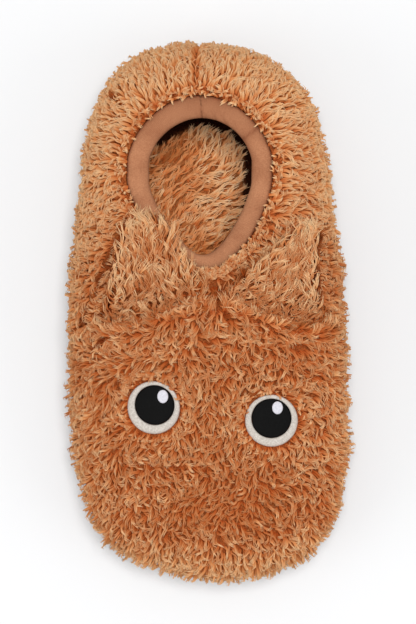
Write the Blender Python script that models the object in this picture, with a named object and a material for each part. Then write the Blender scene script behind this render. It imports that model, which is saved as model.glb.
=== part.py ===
"""House slipper for the right foot, in plush with ears and embroidered eyes.

Metres, +Z up, toe toward -Y, heel toward +Y, the big-toe side toward +X.
Every curve is worked out from the named sizes below and from short tables of shares.
"""
import math
import random

import bmesh
import bpy
import numpy as np

# Overall sizes, measured over the pile.
LENGTH = 0.257
BALL_WIDTH = 0.133
INSTEP_HEIGHT = 0.073
HEEL_HEIGHT = 0.0645
BULGE_HEIGHT = 0.024

# Cloth and pile.
PILE = 0.0046
WALL = 0.005
LOCK_CELL = 0.0078
GAP = 0.0003
SECTION_POWER = 2.3
TOE_ROUND = 0.027
HEEL_ROUND = 0.028
ROUND_POWER = 2.2
TUCK_ANGLE = math.radians(64.0)

# Sole.
SOLE_FORE = 0.007
SOLE_HEEL = 0.009
SOLE_EDGE = 0.0018
SOLE_ROUND = 0.002
SOLE_SETBACK = 0.0075
TOE_SPRING = 0.006
SPRING_START = -0.068
ARCH_RISE = 0.0015
ARCH_START = -0.032
ARCH_END = 0.034

# Footbed.
INSOLE_THICK = 0.004
INSOLE_PILE = 0.0024

# Collar and opening.
COLLAR_LENGTH = 0.0822
COLLAR_WIDTH = 0.069
COLLAR_SETBACK = 0.0276
OPENING_LENGTH = 0.0639
OPENING_WIDTH = 0.0485
OPENING_SETBACK = 0.0384
BAND_THICK = 0.004
BAND_CROWN = 0.0018

# Eyes.
STITCH_THICK = 0.0012
GLINT_THICK = 0.0008
EYE_GAP = 0.00036

# Ears.
EAR_THICK = 0.0105
EAR_TIP_THICK = 0.0065
EAR_PILE = 0.0026
EAR_CLEAR_BACK = 0.0084
EAR_CLEAR_FRONT = 0.0057

COLUMNS = 96
ROWS = 24
LINING_ROWS = 9

# share of length from the toe, half width / half ball width, centre shift / half ball width
OUTLINE = (
    (0.0, 0.0, 0.098),
    (0.0165, 0.376, 0.096),
    (0.040, 0.590, 0.080),
    (0.063, 0.735, 0.064),
    (0.0865, 0.812, 0.053),
    (0.110, 0.865, 0.045),
    (0.133, 0.903, 0.036),
    (0.157, 0.932, 0.026),
    (0.203, 0.970, 0.018),
    (0.250, 0.990, 0.012),
    (0.344, 0.997, -0.004),
    (0.461, 0.992, -0.008),
    (0.554, 0.975, -0.018),
    (0.648, 0.932, -0.022),
    (0.741, 0.902, -0.022),
    (0.811, 0.862, -0.028),
    (0.858, 0.822, -0.033),
    (0.905, 0.752, -0.034),
    (0.928, 0.692, -0.040),
    (0.951, 0.608, -0.050),
    (0.975, 0.478, -0.065),
    (1.0, 0.0, -0.080),
)

# share of length from the toe, share of the instep rise, share of the heel rise
CREST = (
    (0.0, 0.47, 0.0),
    (0.10, 0.49, 0.0),
    (0.20, 0.60, 0.0),
    (0.35, 0.78, 0.0),
    (0.50, 0.94, 0.0),
    (0.575, 1.0, 0.0),
    (0.70, 0.62, 0.44),
    (0.82, 0.20, 0.86),
    (0.90, 0.0, 1.0),
    (1.0, 0.0, 0.98),
)

# share of length from the toe, kept width on the outer side, kept width on the inner side
SOLE_SHARE = (
    (0.0, 0.88, 0.88),
    (0.25, 0.865, 0.865),
    (0.50, 0.84, 0.76),
    (0.62, 0.83, 0.755),
    (0.80, 0.84, 0.83),
    (1.0, 0.88, 0.88),
)

# share along the collar from throat to heel, half width share, centre shift share
COLLAR = (
    (0.0, 0.0, 0.030),
    (0.077, 0.390, 0.012),
    (0.137, 0.550, -0.005),
    (0.283, 0.790, -0.036),
    (0.405, 0.928, -0.058),
    (0.527, 0.994, -0.072),
    (0.624, 0.991, -0.071),
    (0.746, 0.904, -0.070),
    (0.843, 0.754, -0.070),
    (0.928, 0.530, -0.070),
    (1.0, 0.0, -0.070),
)

# share along the opening from throat to heel, half width share, centre shift share
OPENING = (
    (0.0, 0.0, -0.020),
    (0.080, 0.355, -0.022),
    (0.200, 0.600, -0.045),
    (0.370, 0.850, -0.075),
    (0.550, 0.990, -0.090),
    (0.680, 0.990, -0.088),
    (0.800, 0.880, -0.085),
    (0.900, 0.668, -0.075),
    (0.960, 0.433, -0.068),
    (1.0, 0.0, -0.062),
)

# share round half the outline from the heel, share round half the collar from the heel
PAIRS = (
    (0.0, 0.0),
    (0.23, 0.34),
    (0.315, 0.50),
    (0.39, 0.635),
    (0.50, 0.77),
    (0.60, 0.845),
    (0.72, 0.905),
    (0.86, 0.955),
    (1.0, 1.0),
)

# name, ring x, ring y, ring radius, pupil x, pupil y, pupil radius, glint x, glint y, glint radius
EYES = (
    ("lateral", -0.0242, -0.0452, 0.0125, -0.0237, -0.0440, 0.0093, -0.0197, -0.0399, 0.0028),
    ("medial", 0.0309, -0.0513, 0.0123, 0.0309, -0.0502, 0.0092, 0.0338, -0.0452, 0.0027),
)

# name, outer base x, y, inner base x, y, tip x, y, tip height, steep rise over the base, taper
EARS = (
    ("lateral", -0.0480, -0.0048, 0.0030, 0.0085, -0.0275, 0.0400, 0.0880, 0.0105, 0.60),
    ("medial", 0.0555, -0.0046, 0.0096, 0.0088, 0.0490, 0.0362, 0.0850, 0.0100, 0.74),
)

# share up the ear, share of the tapered half width
EAR_SHAPE = (
    (0.0, 0.96),
    (0.12, 1.0),
    (0.60, 1.0),
    (0.80, 0.935),
    (0.92, 0.785),
    (0.975, 0.54),
    (1.0, 0.0),
)

RANDOM = random.Random(7)


def table_curve(table, column, at, power=1.0):
    """Monotone cubic through one column of a table, worked out on the value raised to a power."""
    x = np.array([row[0] for row in table])
    y = np.array([row[column] for row in table])
    y = np.sign(y) * np.abs(y) ** power
    h = np.diff(x)
    d = np.diff(y) / h
    m = np.zeros(len(x))
    m[0] = d[0]
    m[-1] = d[-1]
    for k in range(1, len(x) - 1):
        if d[k - 1] * d[k] > 0.0:
            w1 = 2.0 * h[k] + h[k - 1]
            w2 = h[k] + 2.0 * h[k - 1]
            m[k] = (w1 + w2) / (w1 / d[k - 1] + w2 / d[k])
    t = np.clip(np.asarray(at, dtype=float), x[0], x[-1])
    k = np.clip(np.searchsorted(x, t, side="right") - 1, 0, len(h) - 1)
    s = (t - x[k]) / h[k]
    a = (1.0 + 2.0 * s) * (1.0 - s) ** 2
    b = s * (1.0 - s) ** 2
    c = s * s * (3.0 - 2.0 * s)
    e = s * s * (s - 1.0)
    value = a * y[k] + b * h[k] * m[k] + c * y[k + 1] + e * h[k] * m[k + 1]
    return np.sign(value) * np.abs(value) ** (1.0 / power)


def half_width(t):
    return np.maximum(table_curve(OUTLINE, 1, t, 2.0), 0.0) * BALL_WIDTH / 2.0


def centre_line(t):
    return table_curve(OUTLINE, 2, t) * BALL_WIDTH / 2.0


def plateau(t):
    """Crest height over the bulge without the rounding of toe and heel."""
    instep = table_curve(CREST, 1, t) * (INSTEP_HEIGHT - BULGE_HEIGHT)
    heel = table_curve(CREST, 2, t) * (HEEL_HEIGHT - BULGE_HEIGHT)
    return instep + heel


def end_round(t):
    """Share of the plateau that is left near toe and heel: two quarter superellipses."""
    toe = 1.0 - np.clip(t * LENGTH / TOE_ROUND, 0.0, 1.0)
    heel = 1.0 - np.clip((1.0 - t) * LENGTH / HEEL_ROUND, 0.0, 1.0)
    power = ROUND_POWER
    return (1.0 - toe ** power) ** (1.0 / power) * (1.0 - heel ** power) ** (1.0 / power)


def width_scale(depth):
    return 1.0 - depth / (0.475 * BALL_WIDTH)


def length_scale(depth):
    return 1.0 - 2.0 * depth / LENGTH


def top_height(x, y, depth):
    """Height of the shell that lies a depth below the pile tips, above the bulge line."""
    t = np.clip(np.asarray(y) / length_scale(depth) / LENGTH + 0.5, 0.0, 1.0)
    half = np.maximum(half_width(t) * width_scale(depth), 1e-6)
    share = np.clip(np.abs(np.asarray(x) - centre_line(t)) / half, 0.0, 1.0)
    crest = plateau(t)
    rise = crest * end_round(t) * (1.0 - depth / crest)
    return BULGE_HEIGHT + rise * (1.0 - share ** SECTION_POWER) ** (1.0 / SECTION_POWER)


def top_normal(x, y, depth):
    step = 0.0004
    dx = (top_height(x + step, y, depth) - top_height(x - step, y, depth)) / (2.0 * step)
    dy = (top_height(x, y + step, depth) - top_height(x, y - step, depth)) / (2.0 * step)
    normal = np.array([-dx, -dy, 1.0])
    return normal / np.linalg.norm(normal)


def sole_top(y):
    """Upper face of the sole: heel thicker than forefoot, and the toe lifted."""
    heel = np.clip((np.asarray(y) - ARCH_START) / (ARCH_END - ARCH_START), 0.0, 1.0)
    heel = heel * heel * (3.0 - 2.0 * heel)
    return SOLE_FORE + (SOLE_HEEL - SOLE_FORE) * heel + toe_lift(y)


def toe_lift(y):
    reach = np.clip((SPRING_START - np.asarray(y)) / (SPRING_START + LENGTH / 2.0), 0.0, 1.0)
    return TOE_SPRING * reach ** 1.8


def sole_under(y):
    """Under face of the sole: flat at heel and forefoot, hollow at the arch, lifted at the toe."""
    share = np.clip((np.asarray(y) - ARCH_START) / (ARCH_END - ARCH_START), 0.0, 1.0)
    return ARCH_RISE * np.sin(math.pi * share) ** 2 + toe_lift(y)


def half_loop(table, side, length, width, start, count=400):
    """One side of a loop given by half widths and a centre line, heel first, with its arc length."""
    t = 0.5 + 0.5 * np.cos(np.linspace(0.0, math.pi, count))
    half = np.maximum(table_curve(table, 1, t, 2.0), 0.0) * width / 2.0
    x = table_curve(table, 2, t) * width / 2.0 + side * half
    y = start + t * length
    arc = np.concatenate([[0.0], np.cumsum(np.hypot(np.diff(x), np.diff(y)))])
    return x, y, t, arc / arc[-1]


def ring_at(table, length, width, start, shares):
    """Loop points at shares round the loop: 0 heel, 0.5 toe or throat, the outer side first."""
    points = []
    for share in shares:
        side = -1.0 if share < 0.5 else 1.0
        local = 2.0 * share if share < 0.5 else 2.0 * (1.0 - share)
        x, y, t, arc = HALVES[(id(table), side)]
        points.append((np.interp(local, arc, x), np.interp(local, arc, y),
                       np.interp(local, arc, t), side))
    return np.array(points)


HALVES = {}
for _table, _length, _width, _start in (
        (OUTLINE, LENGTH, BALL_WIDTH, -LENGTH / 2.0),
        (COLLAR, COLLAR_LENGTH, COLLAR_WIDTH, LENGTH / 2.0 - COLLAR_SETBACK - COLLAR_LENGTH),
        (OPENING, OPENING_LENGTH, OPENING_WIDTH, LENGTH / 2.0 - OPENING_SETBACK - OPENING_LENGTH)):
    for _side in (-1.0, 1.0):
        HALVES[(id(_table), _side)] = half_loop(_table, _side, _length, _width, _start)


def pair_share(share):
    local = 2.0 * share if share < 0.5 else 2.0 * (1.0 - share)
    moved = float(table_curve(PAIRS, 1, local))
    return moved / 2.0 if share < 0.5 else 1.0 - moved / 2.0


SHARES = [j / COLUMNS for j in range(COLUMNS)]
OUTER = ring_at(OUTLINE, LENGTH, BALL_WIDTH, -LENGTH / 2.0, SHARES)
COLLAR_RING = ring_at(COLLAR, COLLAR_LENGTH, COLLAR_WIDTH, 0.0, [pair_share(s) for s in SHARES])
OPENING_RING = ring_at(OPENING, OPENING_LENGTH, OPENING_WIDTH, 0.0,
                       [pair_share(s) for s in SHARES])


def bulge_ring(depth):
    """The widest line of a shell in plan."""
    t = OUTER[:, 2]
    x = centre_line(t) + OUTER[:, 3] * half_width(t) * width_scale(depth)
    return np.stack([x, OUTER[:, 1] * length_scale(depth)], axis=1)


def feather_ring(depth):
    """Where a shell meets the sole, in plan."""
    t = OUTER[:, 2]
    ring = bulge_ring(depth)
    keep = np.where(OUTER[:, 3] < 0.0, table_curve(SOLE_SHARE, 1, t), table_curve(SOLE_SHARE, 2, t))
    middle = centre_line(t)
    x = middle + (ring[:, 0] - middle) * keep
    y = ring[:, 1] * (1.0 - 2.0 * SOLE_SETBACK / LENGTH)
    return np.stack([x, y], axis=1)


def shell_paths(depth, rows):
    """Columns of a shell from the feather edge out to the bulge and over to the collar.

    Below the bulge a quarter ellipse runs in to the feather edge; above it a straight line in
    plan climbs the section to the collar. Each column is cut into equal lengths.
    """
    bulge = bulge_ring(depth)
    feather = feather_ring(depth)
    collar = COLLAR_RING[:, :2]
    grid = np.zeros((COLUMNS, rows + 1, 3))
    lower = np.linspace(1.0, 0.0, 14)[:-1]
    upper = np.linspace(0.0, 1.0, 60) ** 2.2
    for j in range(COLUMNS):
        foot = float(sole_top(feather[j, 1])) + GAP
        angle = lower * TUCK_ANGLE
        inward = (1.0 - np.cos(angle)) / (1.0 - math.cos(TUCK_ANGLE))
        down = np.sin(angle) / math.sin(TUCK_ANGLE)
        low = np.zeros((len(lower), 3))
        low[:, :2] = bulge[j] + (feather[j] - bulge[j]) * inward[:, None]
        low[:, 2] = BULGE_HEIGHT + (foot - BULGE_HEIGHT) * down
        high = np.zeros((len(upper), 3))
        high[:, :2] = bulge[j] + (collar[j] - bulge[j]) * upper[:, None]
        high[:, 2] = top_height(high[:, 0], high[:, 1], depth)
        high[0, 2] = BULGE_HEIGHT
        path = np.concatenate([low, high])
        arc = np.concatenate([[0.0], np.cumsum(np.linalg.norm(np.diff(path, axis=0), axis=1))])
        even = np.linspace(0.0, arc[-1], rows + 1)
        for axis in range(3):
            grid[j, :, axis] = np.interp(even, arc, path[:, axis])
        grid[j, 0] = path[0]
        grid[j, rows] = path[-1]
    return grid


def ear_base(ear):
    name, ax, ay, bx, by = ear[:5]
    return np.array([ax, ay]), np.array([bx, by])


def is_bare(points):
    """True where a cell lies under an eye or under the root of an ear."""
    for eye in EYES:
        centre = np.array(eye[1:3])
        radius = eye[3]
        away = np.linalg.norm(points[:, :2] - centre, axis=1)
        if away.min() < radius + 0.0012 and points[:, 2].min() > BULGE_HEIGHT:
            return True
    for ear in EARS:
        a, b = ear_base(ear)
        along = (b - a) / np.linalg.norm(b - a)
        across = np.array([-along[1], along[0]])
        if across[1] < 0.0:
            across = -across
        rel = points[:, :2] - a
        s = rel @ along
        d = rel @ across
        span = np.linalg.norm(b - a)
        inside = (s > -0.0015) & (s < span + 0.0015)
        inside &= (d > -EAR_CLEAR_FRONT) & (d < EAR_CLEAR_BACK)
        if inside.any() and points[:, 2].min() > BULGE_HEIGHT:
            return True
    return False


def cut_cells(grid):
    """Cut the outer shell into blocks of about one lock each and list their corners."""
    lengths = np.linalg.norm(np.diff(grid, axis=1), axis=2).sum(axis=1)
    heights = []
    for j in range(COLUMNS):
        options = [h for h in (1, 2, 3, 4) if ROWS % h == 0]
        heights.append(min(options, key=lambda h: abs(h * lengths[j] / ROWS - LOCK_CELL)))
    runs = []
    start = 0
    for j in range(1, COLUMNS + 1):
        if j == COLUMNS or heights[j] != heights[start]:
            runs.append((start, j, heights[start]))
            start = j
    blocks = []
    for first, last, height in runs:
        for r0 in range(0, ROWS, height):
            middle = min(r0 + height // 2, ROWS)
            ring = [grid[j % COLUMNS, middle] for j in range(first, last + 1)]
            width = sum(np.linalg.norm(ring[k + 1] - ring[k]) for k in range(len(ring) - 1))
            count = int(max(1, min(last - first, round(width / LOCK_CELL))))
            cuts = sorted({int(round(first + (last - first) * k / count)) for k in range(count + 1)})
            for k in range(len(cuts) - 1):
                blocks.append((cuts[k], cuts[k + 1], r0, r0 + height))
    return blocks


def block_loop(block, active):
    ja, jb, ra, rb = block
    walk = [(j, ra) for j in range(ja, jb)]
    walk += [(jb, r) for r in range(ra, rb)]
    walk += [(j, rb) for j in range(jb, ja, -1)]
    walk += [(ja, r) for r in range(rb, ra, -1)]
    return [(j % COLUMNS, r) for j, r in walk if (j % COLUMNS, r) in active]


def make_object(name, verts, faces, collection, material):
    mesh = bpy.data.meshes.new(name)
    mesh.from_pydata([tuple(float(c) for c in v) for v in verts], [], faces)
    mesh.materials.append(material)
    shape = bmesh.new()
    shape.from_mesh(mesh)
    bmesh.ops.recalc_face_normals(shape, faces=shape.faces)
    if shape.calc_volume(signed=True) < 0.0:
        bmesh.ops.reverse_faces(shape, faces=shape.faces)
    shape.to_mesh(mesh)
    shape.free()
    mesh.update()
    obj = bpy.data.objects.new(name, mesh)
    collection.objects.link(obj)
    return obj


def make_material(name, colour, roughness):
    material = bpy.data.materials.new(name)
    material.use_nodes = True
    shader = material.node_tree.nodes["Principled BSDF"]
    shader.inputs["Base Color"].default_value = (*colour, 1.0)
    shader.inputs["Roughness"].default_value = roughness
    material.diffuse_color = (*colour, 1.0)
    return material


def unit(vector):
    length = np.linalg.norm(vector)
    return vector / length if length > 1e-12 else vector


def build_upper(collection, material):
    """Hollow shell: locked outer face, collar edge, smooth lining, feather edge."""
    outer = shell_paths(PILE, ROWS)
    inner = shell_paths(PILE + WALL, LINING_ROWS)
    blocks = cut_cells(outer)
    active = set()
    for ja, jb, ra, rb in blocks:
        for j in (ja, jb):
            for r in (ra, rb):
                active.add((j % COLUMNS, r))
    for j in range(COLUMNS):
        active.add((j, 0))
        active.add((j, ROWS))
    verts = []
    index = {}
    for key in sorted(active):
        j, r = key
        point = outer[j, r].copy()
        if 0 < r < ROWS:
            round_way = outer[(j + 1) % COLUMNS, r] - outer[j - 1, r]
            up_way = outer[j, min(r + 1, ROWS)] - outer[j, r - 1]
            spread = 0.13 * min(LOCK_CELL, np.linalg.norm(round_way))
            point = point + unit(round_way) * spread * RANDOM.uniform(-1.0, 1.0)
            point = point + unit(up_way) * spread * RANDOM.uniform(-1.0, 1.0)
        index[key] = len(verts)
        verts.append(point)
    faces = []
    for block in blocks:
        ja, jb, ra, rb = block
        loop = block_loop(block, active)
        corners = np.array([verts[index[key]] for key in loop])
        centre = corners.mean(axis=0)
        across = outer[jb % COLUMNS, (ra + rb) // 2] - outer[ja, (ra + rb) // 2]
        upward = outer[ja, rb] - outer[ja, ra] + outer[jb % COLUMNS, rb] - outer[jb % COLUMNS, ra]
        normal = unit(np.cross(across, upward))
        if normal @ (centre - np.array([0.0, centre[1] * 0.55, 0.02])) < 0.0:
            normal = -normal
        reach = PILE * RANDOM.uniform(0.86, 1.16)
        turn = RANDOM.uniform(-1.15, 1.15)
        lean = RANDOM.uniform(0.16, 0.30) * LOCK_CELL
        if is_bare(corners) or is_bare(centre[None, :]):
            if centre[2] > BULGE_HEIGHT:
                centre[2] = float(top_height(centre[0], centre[1], PILE))
            apex = centre
        else:
            comb = -unit(upward) * math.cos(turn) + unit(across) * math.sin(turn)
            apex = centre + normal * reach + comb * lean
            floor = float(sole_top(apex[1])) + GAP + 0.001
            apex[2] = max(apex[2], floor)
        top = len(verts)
        verts.append(apex)
        for k in range(len(loop)):
            faces.append((index[loop[k]], index[loop[(k + 1) % len(loop)]], top))
    base = len(verts)
    for j in range(COLUMNS):
        for r in range(LINING_ROWS + 1):
            verts.append(inner[j, r])
    step = LINING_ROWS + 1
    for j in range(COLUMNS):
        k = (j + 1) % COLUMNS
        for r in range(LINING_ROWS):
            a = base + j * step + r
            b = base + k * step + r
            faces.append((a, a + 1, b + 1))
            faces.append((a, b + 1, b))
        faces.append((index[(j, 0)], base + j * step, base + k * step))
        faces.append((index[(j, 0)], base + k * step, index[(k, 0)]))
        top_a = base + j * step + LINING_ROWS
        top_b = base + k * step + LINING_ROWS
        faces.append((index[(j, ROWS)], index[(k, ROWS)], top_b))
        faces.append((index[(j, ROWS)], top_b, top_a))
    return make_object("upper", verts, faces, collection, material)


def inward_ring(ring, distance):
    """Move a closed plan loop along its own inward direction."""
    ahead = np.roll(ring, -1, axis=0)
    behind = np.roll(ring, 1, axis=0)
    way = ahead - behind
    way /= np.linalg.norm(way, axis=1)[:, None]
    normal = np.stack([-way[:, 1], way[:, 0]], axis=1)
    area = 0.5 * np.sum(ring[:, 0] * ahead[:, 1] - ahead[:, 0] * ring[:, 1])
    return ring + normal * distance * (1.0 if area > 0.0 else -1.0)


def build_binding(collection, material):
    """Band round the opening: six corners a column, crowned on top."""
    outer_edge = inward_ring(COLLAR_RING[:, :2], GAP)
    inner_edge = OPENING_RING[:, :2]
    verts = []
    for j in range(COLUMNS):
        a = outer_edge[j]
        b = inner_edge[j]
        level = float(top_height(COLLAR_RING[j, 0], COLLAR_RING[j, 1], PILE))
        section = (
            (0.0, -BAND_THICK),
            (0.0, 0.0),
            (0.32, BAND_CROWN * 0.85),
            (0.70, BAND_CROWN),
            (1.0, BAND_CROWN * 0.45),
            (1.0, BAND_CROWN * 0.45 - BAND_THICK * 0.8),
        )
        for share, height in section:
            point = a + (b - a) * share
            verts.append((point[0], point[1], level + height))
    faces = []
    for j in range(COLUMNS):
        k = (j + 1) % COLUMNS
        for c in range(6):
            d = (c + 1) % 6
            faces.append((j * 6 + c, j * 6 + d, k * 6 + d, k * 6 + c))
    return make_object("collar_binding", verts, faces, collection, material)


def loop_patch(ring, across, along):
    """Coons patch over a closed loop: the four corners stand at the ends of toe and heel arcs."""
    arc = np.concatenate([ring, ring[:1]])
    length = np.concatenate([[0.0], np.cumsum(np.linalg.norm(np.diff(arc, axis=0), axis=1))])
    total = length[-1]

    def at(share):
        s = (share % 1.0) * total
        return np.array([np.interp(s, length, arc[:, 0]), np.interp(s, length, arc[:, 1])])

    end = 0.060
    left = [at(end + (0.5 - 2.0 * end) * k / along) for k in range(along + 1)]
    right = [at(1.0 - end - (0.5 - 2.0 * end) * k / along) for k in range(along + 1)]
    grid = np.zeros((along + 1, across + 1, 2))
    heel_row = [at(end - 2.0 * end * k / across) for k in range(across + 1)]
    toe_row = [at(0.5 - end + 2.0 * end * k / across) for k in range(across + 1)]
    for i in range(along + 1):
        v = i / along
        for k in range(across + 1):
            u = k / across
            side = left[i] * (1.0 - u) + right[i] * u
            ends = heel_row[k] * (1.0 - v) + toe_row[k] * v
            corners = (left[0] * (1.0 - u) * (1.0 - v) + right[0] * u * (1.0 - v)
                       + left[-1] * (1.0 - u) * v + right[-1] * u * v)
            grid[i, k] = side + ends - corners
    return grid


def patch_border(along, across):
    border = [(i, 0) for i in range(along)]
    border += [(along, k) for k in range(across)]
    border += [(i, across) for i in range(along, 0, -1)]
    border += [(0, k) for k in range(across, 0, -1)]
    return border


def build_sole(collection, material):
    """Plain outsole: two patches with a rounded lower edge between them."""
    across = 6
    along = 22
    ring = inward_ring(feather_ring(PILE), -SOLE_EDGE)
    top = loop_patch(ring, across, along)
    under = loop_patch(inward_ring(ring, SOLE_ROUND), across, along)
    verts = []
    for grid, height in ((top, sole_top), (under, sole_under)):
        for i in range(along + 1):
            for k in range(across + 1):
                x, y = grid[i, k]
                verts.append((x, y, float(height(y))))
    size = (along + 1) * (across + 1)
    faces = []
    for i in range(along):
        for k in range(across):
            a = i * (across + 1) + k
            b = a + across + 1
            faces.append((a, b, b + 1, a + 1))
            faces.append((size + a, size + a + 1, size + b + 1, size + b))
    border = patch_border(along, across)
    side = len(verts)
    for i, k in border:
        x, y = top[i, k]
        low = float(sole_under(y))
        verts.append((x, y, low + SOLE_ROUND))
    count = len(border)
    for n in range(count):
        m = (n + 1) % count
        a = border[n][0] * (across + 1) + border[n][1]
        b = border[m][0] * (across + 1) + border[m][1]
        faces.append((a, b, side + m, side + n))
        faces.append((side + n, side + m, size + b, size + a))
    return make_object("sole", verts, faces, collection, material)


def build_insole(collection, material):
    """Footbed: smooth below, locks on top, inside the feather edge of the lining."""
    across = 10
    along = 22
    ring = inward_ring(feather_ring(PILE + WALL), GAP)
    grid = loop_patch(ring, across, along)
    verts = []
    for level in (INSOLE_THICK, 0.0):
        for i in range(along + 1):
            for k in range(across + 1):
                x, y = grid[i, k]
                verts.append((x, y, float(sole_top(y)) + GAP + level))
    size = (along + 1) * (across + 1)
    faces = []
    for i in range(along):
        for k in range(across):
            a = i * (across + 1) + k
            b = a + across + 1
            quad = (a, b, b + 1, a + 1)
            centre = np.mean([verts[c] for c in quad], axis=0)
            lean = np.array([-0.24, -0.20, 0.0]) * LOCK_CELL * RANDOM.uniform(0.5, 1.2)
            rise = np.array([0.0, 0.0, INSOLE_PILE * RANDOM.uniform(0.8, 1.15)])
            apex = len(verts)
            verts.append(centre + lean + rise)
            for n in range(4):
                faces.append((quad[n], quad[(n + 1) % 4], apex))
            faces.append((size + a, size + a + 1, size + b + 1, size + b))
    border = patch_border(along, across)
    count = len(border)
    for n in range(count):
        m = (n + 1) % count
        a = border[n][0] * (across + 1) + border[n][1]
        b = border[m][0] * (across + 1) + border[m][1]
        faces.append((a, b, size + b, size + a))
    return make_object("insole", verts, faces, collection, material)


def build_ear(ear, collection, material):
    """Flap of flat oval sections that stands on the vamp and falls back toward the collar."""
    name = ear[0]
    a, b = ear_base(ear)
    tip = np.array([ear[5], ear[6], ear[7]])
    steep = ear[8]
    around = 20
    shares = (0.0, 0.10, 0.22, 0.35, 0.49, 0.63, 0.76, 0.87, 0.945, 0.985)
    middle = (a + b) / 2.0
    surface = float(top_height(middle[0], middle[1], PILE)) + EYE_GAP
    start = np.array([middle[0], middle[1], surface])
    knee = start + np.array([(tip[0] - start[0]) * 0.12, (tip[1] - start[1]) * 0.20, steep * 1.7])
    span = b - a
    half = np.linalg.norm(span) / 2.0
    wide = np.array([span[0], span[1], 0.0]) / (2.0 * half)
    rings = []
    for v in shares:
        centre = start * (1 - v) ** 2 + knee * 2 * v * (1 - v) + tip * v * v
        slope = (knee - start) * 2 * (1 - v) + (tip - knee) * 2 * v
        slope = unit(slope - wide * (slope @ wide))
        thin = unit(np.cross(wide, slope))
        if thin[1] < 0.0 and abs(thin[1]) > abs(thin[2]):
            thin = -thin
        if abs(thin[1]) <= abs(thin[2]) and thin[2] > 0.0:
            thin = -thin
        width = half * (1.0 - ear[9] * v) * float(table_curve(EAR_SHAPE, 1, v, 2.0))
        thick = (EAR_THICK + (EAR_TIP_THICK - EAR_THICK) * v) / 2.0
        thick *= math.sqrt(max(0.0, 1.0 - v ** 6))
        ring = []
        for n in range(around):
            angle = 2.0 * math.pi * n / around
            c = math.cos(angle)
            s = math.sin(angle)
            round_thick = math.copysign(abs(s) ** 0.8, s)
            point = centre + wide * width * c + thin * thick * round_thick
            ring.append(point)
        rings.append(np.array(ring))
    flat = np.array([-wide[1], wide[0], 0.0])
    if flat[1] < 0.0:
        flat = -flat
    root = []
    for n in range(around):
        angle = 2.0 * math.pi * n / around
        s = math.sin(angle)
        spread = math.copysign(abs(s) ** 0.8, s) * EAR_THICK / 2.0
        point = start + wide * half * 0.96 * math.cos(angle) + flat * spread
        point[2] = float(top_height(point[0], point[1], PILE)) + EYE_GAP * 1.15
        root.append(point)
    shift = np.array(root) - rings[0]
    for m, v in enumerate(shares):
        rings[m] = rings[m] + shift * (1.0 - v) ** 2.4
    verts = [p for ring in rings for p in ring]
    count = len(rings)
    verts.append(tip)
    pole = len(verts) - 1
    faces = []
    for m in range(count - 1):
        for n in range(around):
            k = (n + 1) % around
            quad = (m * around + n, m * around + k, (m + 1) * around + k, (m + 1) * around + n)
            corners = np.array([verts[c] for c in quad])
            centre = corners.mean(axis=0)
            normal = unit(np.cross(corners[2] - corners[0], corners[3] - corners[1]))
            spine = rings[m].mean(axis=0)
            if normal @ (centre - spine) < 0.0:
                normal = -normal
            size = min(np.linalg.norm(corners[1] - corners[0]),
                       np.linalg.norm(corners[3] - corners[0]))
            reach = EAR_PILE * RANDOM.uniform(0.75, 1.1) * min(1.0, size / 0.0035)
            if m == 0:
                reach *= 0.25
            away = unit(corners[2] + corners[3] - corners[0] - corners[1])
            apex = centre + normal * reach + away * size * RANDOM.uniform(0.05, 0.2)
            top = len(verts)
            verts.append(apex)
            for c in range(4):
                faces.append((quad[c], quad[(c + 1) % 4], top))
    last = (count - 1) * around
    for n in range(around):
        faces.append((last + n, last + (n + 1) % around, pole))
    half_count = around // 2
    for n in range(half_count):
        c = n
        d = n + 1
        e = (around - n) % around
        f = around - n - 1
        if c == e:
            faces.append((c, f, d))
        elif d == f:
            faces.append((c, e, d))
        else:
            faces.append((c, e, f, d))
    return make_object("ear_" + name, verts, faces, collection, material)


def stitched_patch(name, rings, low, thick, collection, material, hole=None):
    """A pad of stitching on the vamp: rings of points in plan, lifted over the shell.

    With a hole the first ring is its edge; without one the first ring is closed by a centre.
    """
    count = len(rings[0])
    verts = []
    for level in (low + thick, low):
        for ring in rings:
            for x, y in ring:
                slant = top_normal(x, y, PILE)[2]
                z = float(top_height(x, y, PILE)) + level / slant
                verts.append((x, y, z))
    size = len(rings) * count
    faces = []
    for m in range(len(rings) - 1):
        for n in range(count):
            k = (n + 1) % count
            a = m * count + n
            b = m * count + k
            faces.append((a, a + count, b + count, b))
            faces.append((size + a, size + b, size + b + count, size + a + count))
    last = (len(rings) - 1) * count
    for n in range(count):
        k = (n + 1) % count
        faces.append((last + n, size + last + n, size + last + k, last + k))
        if hole:
            faces.append((n, k, size + k, size + n))
    if not hole:
        for level, offset in ((low + thick, 0), (low, size)):
            x = float(np.mean([p[0] for p in rings[0]]))
            y = float(np.mean([p[1] for p in rings[0]]))
            slant = top_normal(x, y, PILE)[2]
            centre = len(verts)
            verts.append((x, y, float(top_height(x, y, PILE)) + level / slant))
            for n in range(count):
                k = (n + 1) % count
                if offset:
                    faces.append((offset + n, centre, offset + k))
                else:
                    faces.append((n, k, centre))
    return make_object(name, verts, faces, collection, material)


def circle(x, y, radius, count):
    return [(x + radius * math.cos(2.0 * math.pi * n / count),
             y + radius * math.sin(2.0 * math.pi * n / count)) for n in range(count)]


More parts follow.
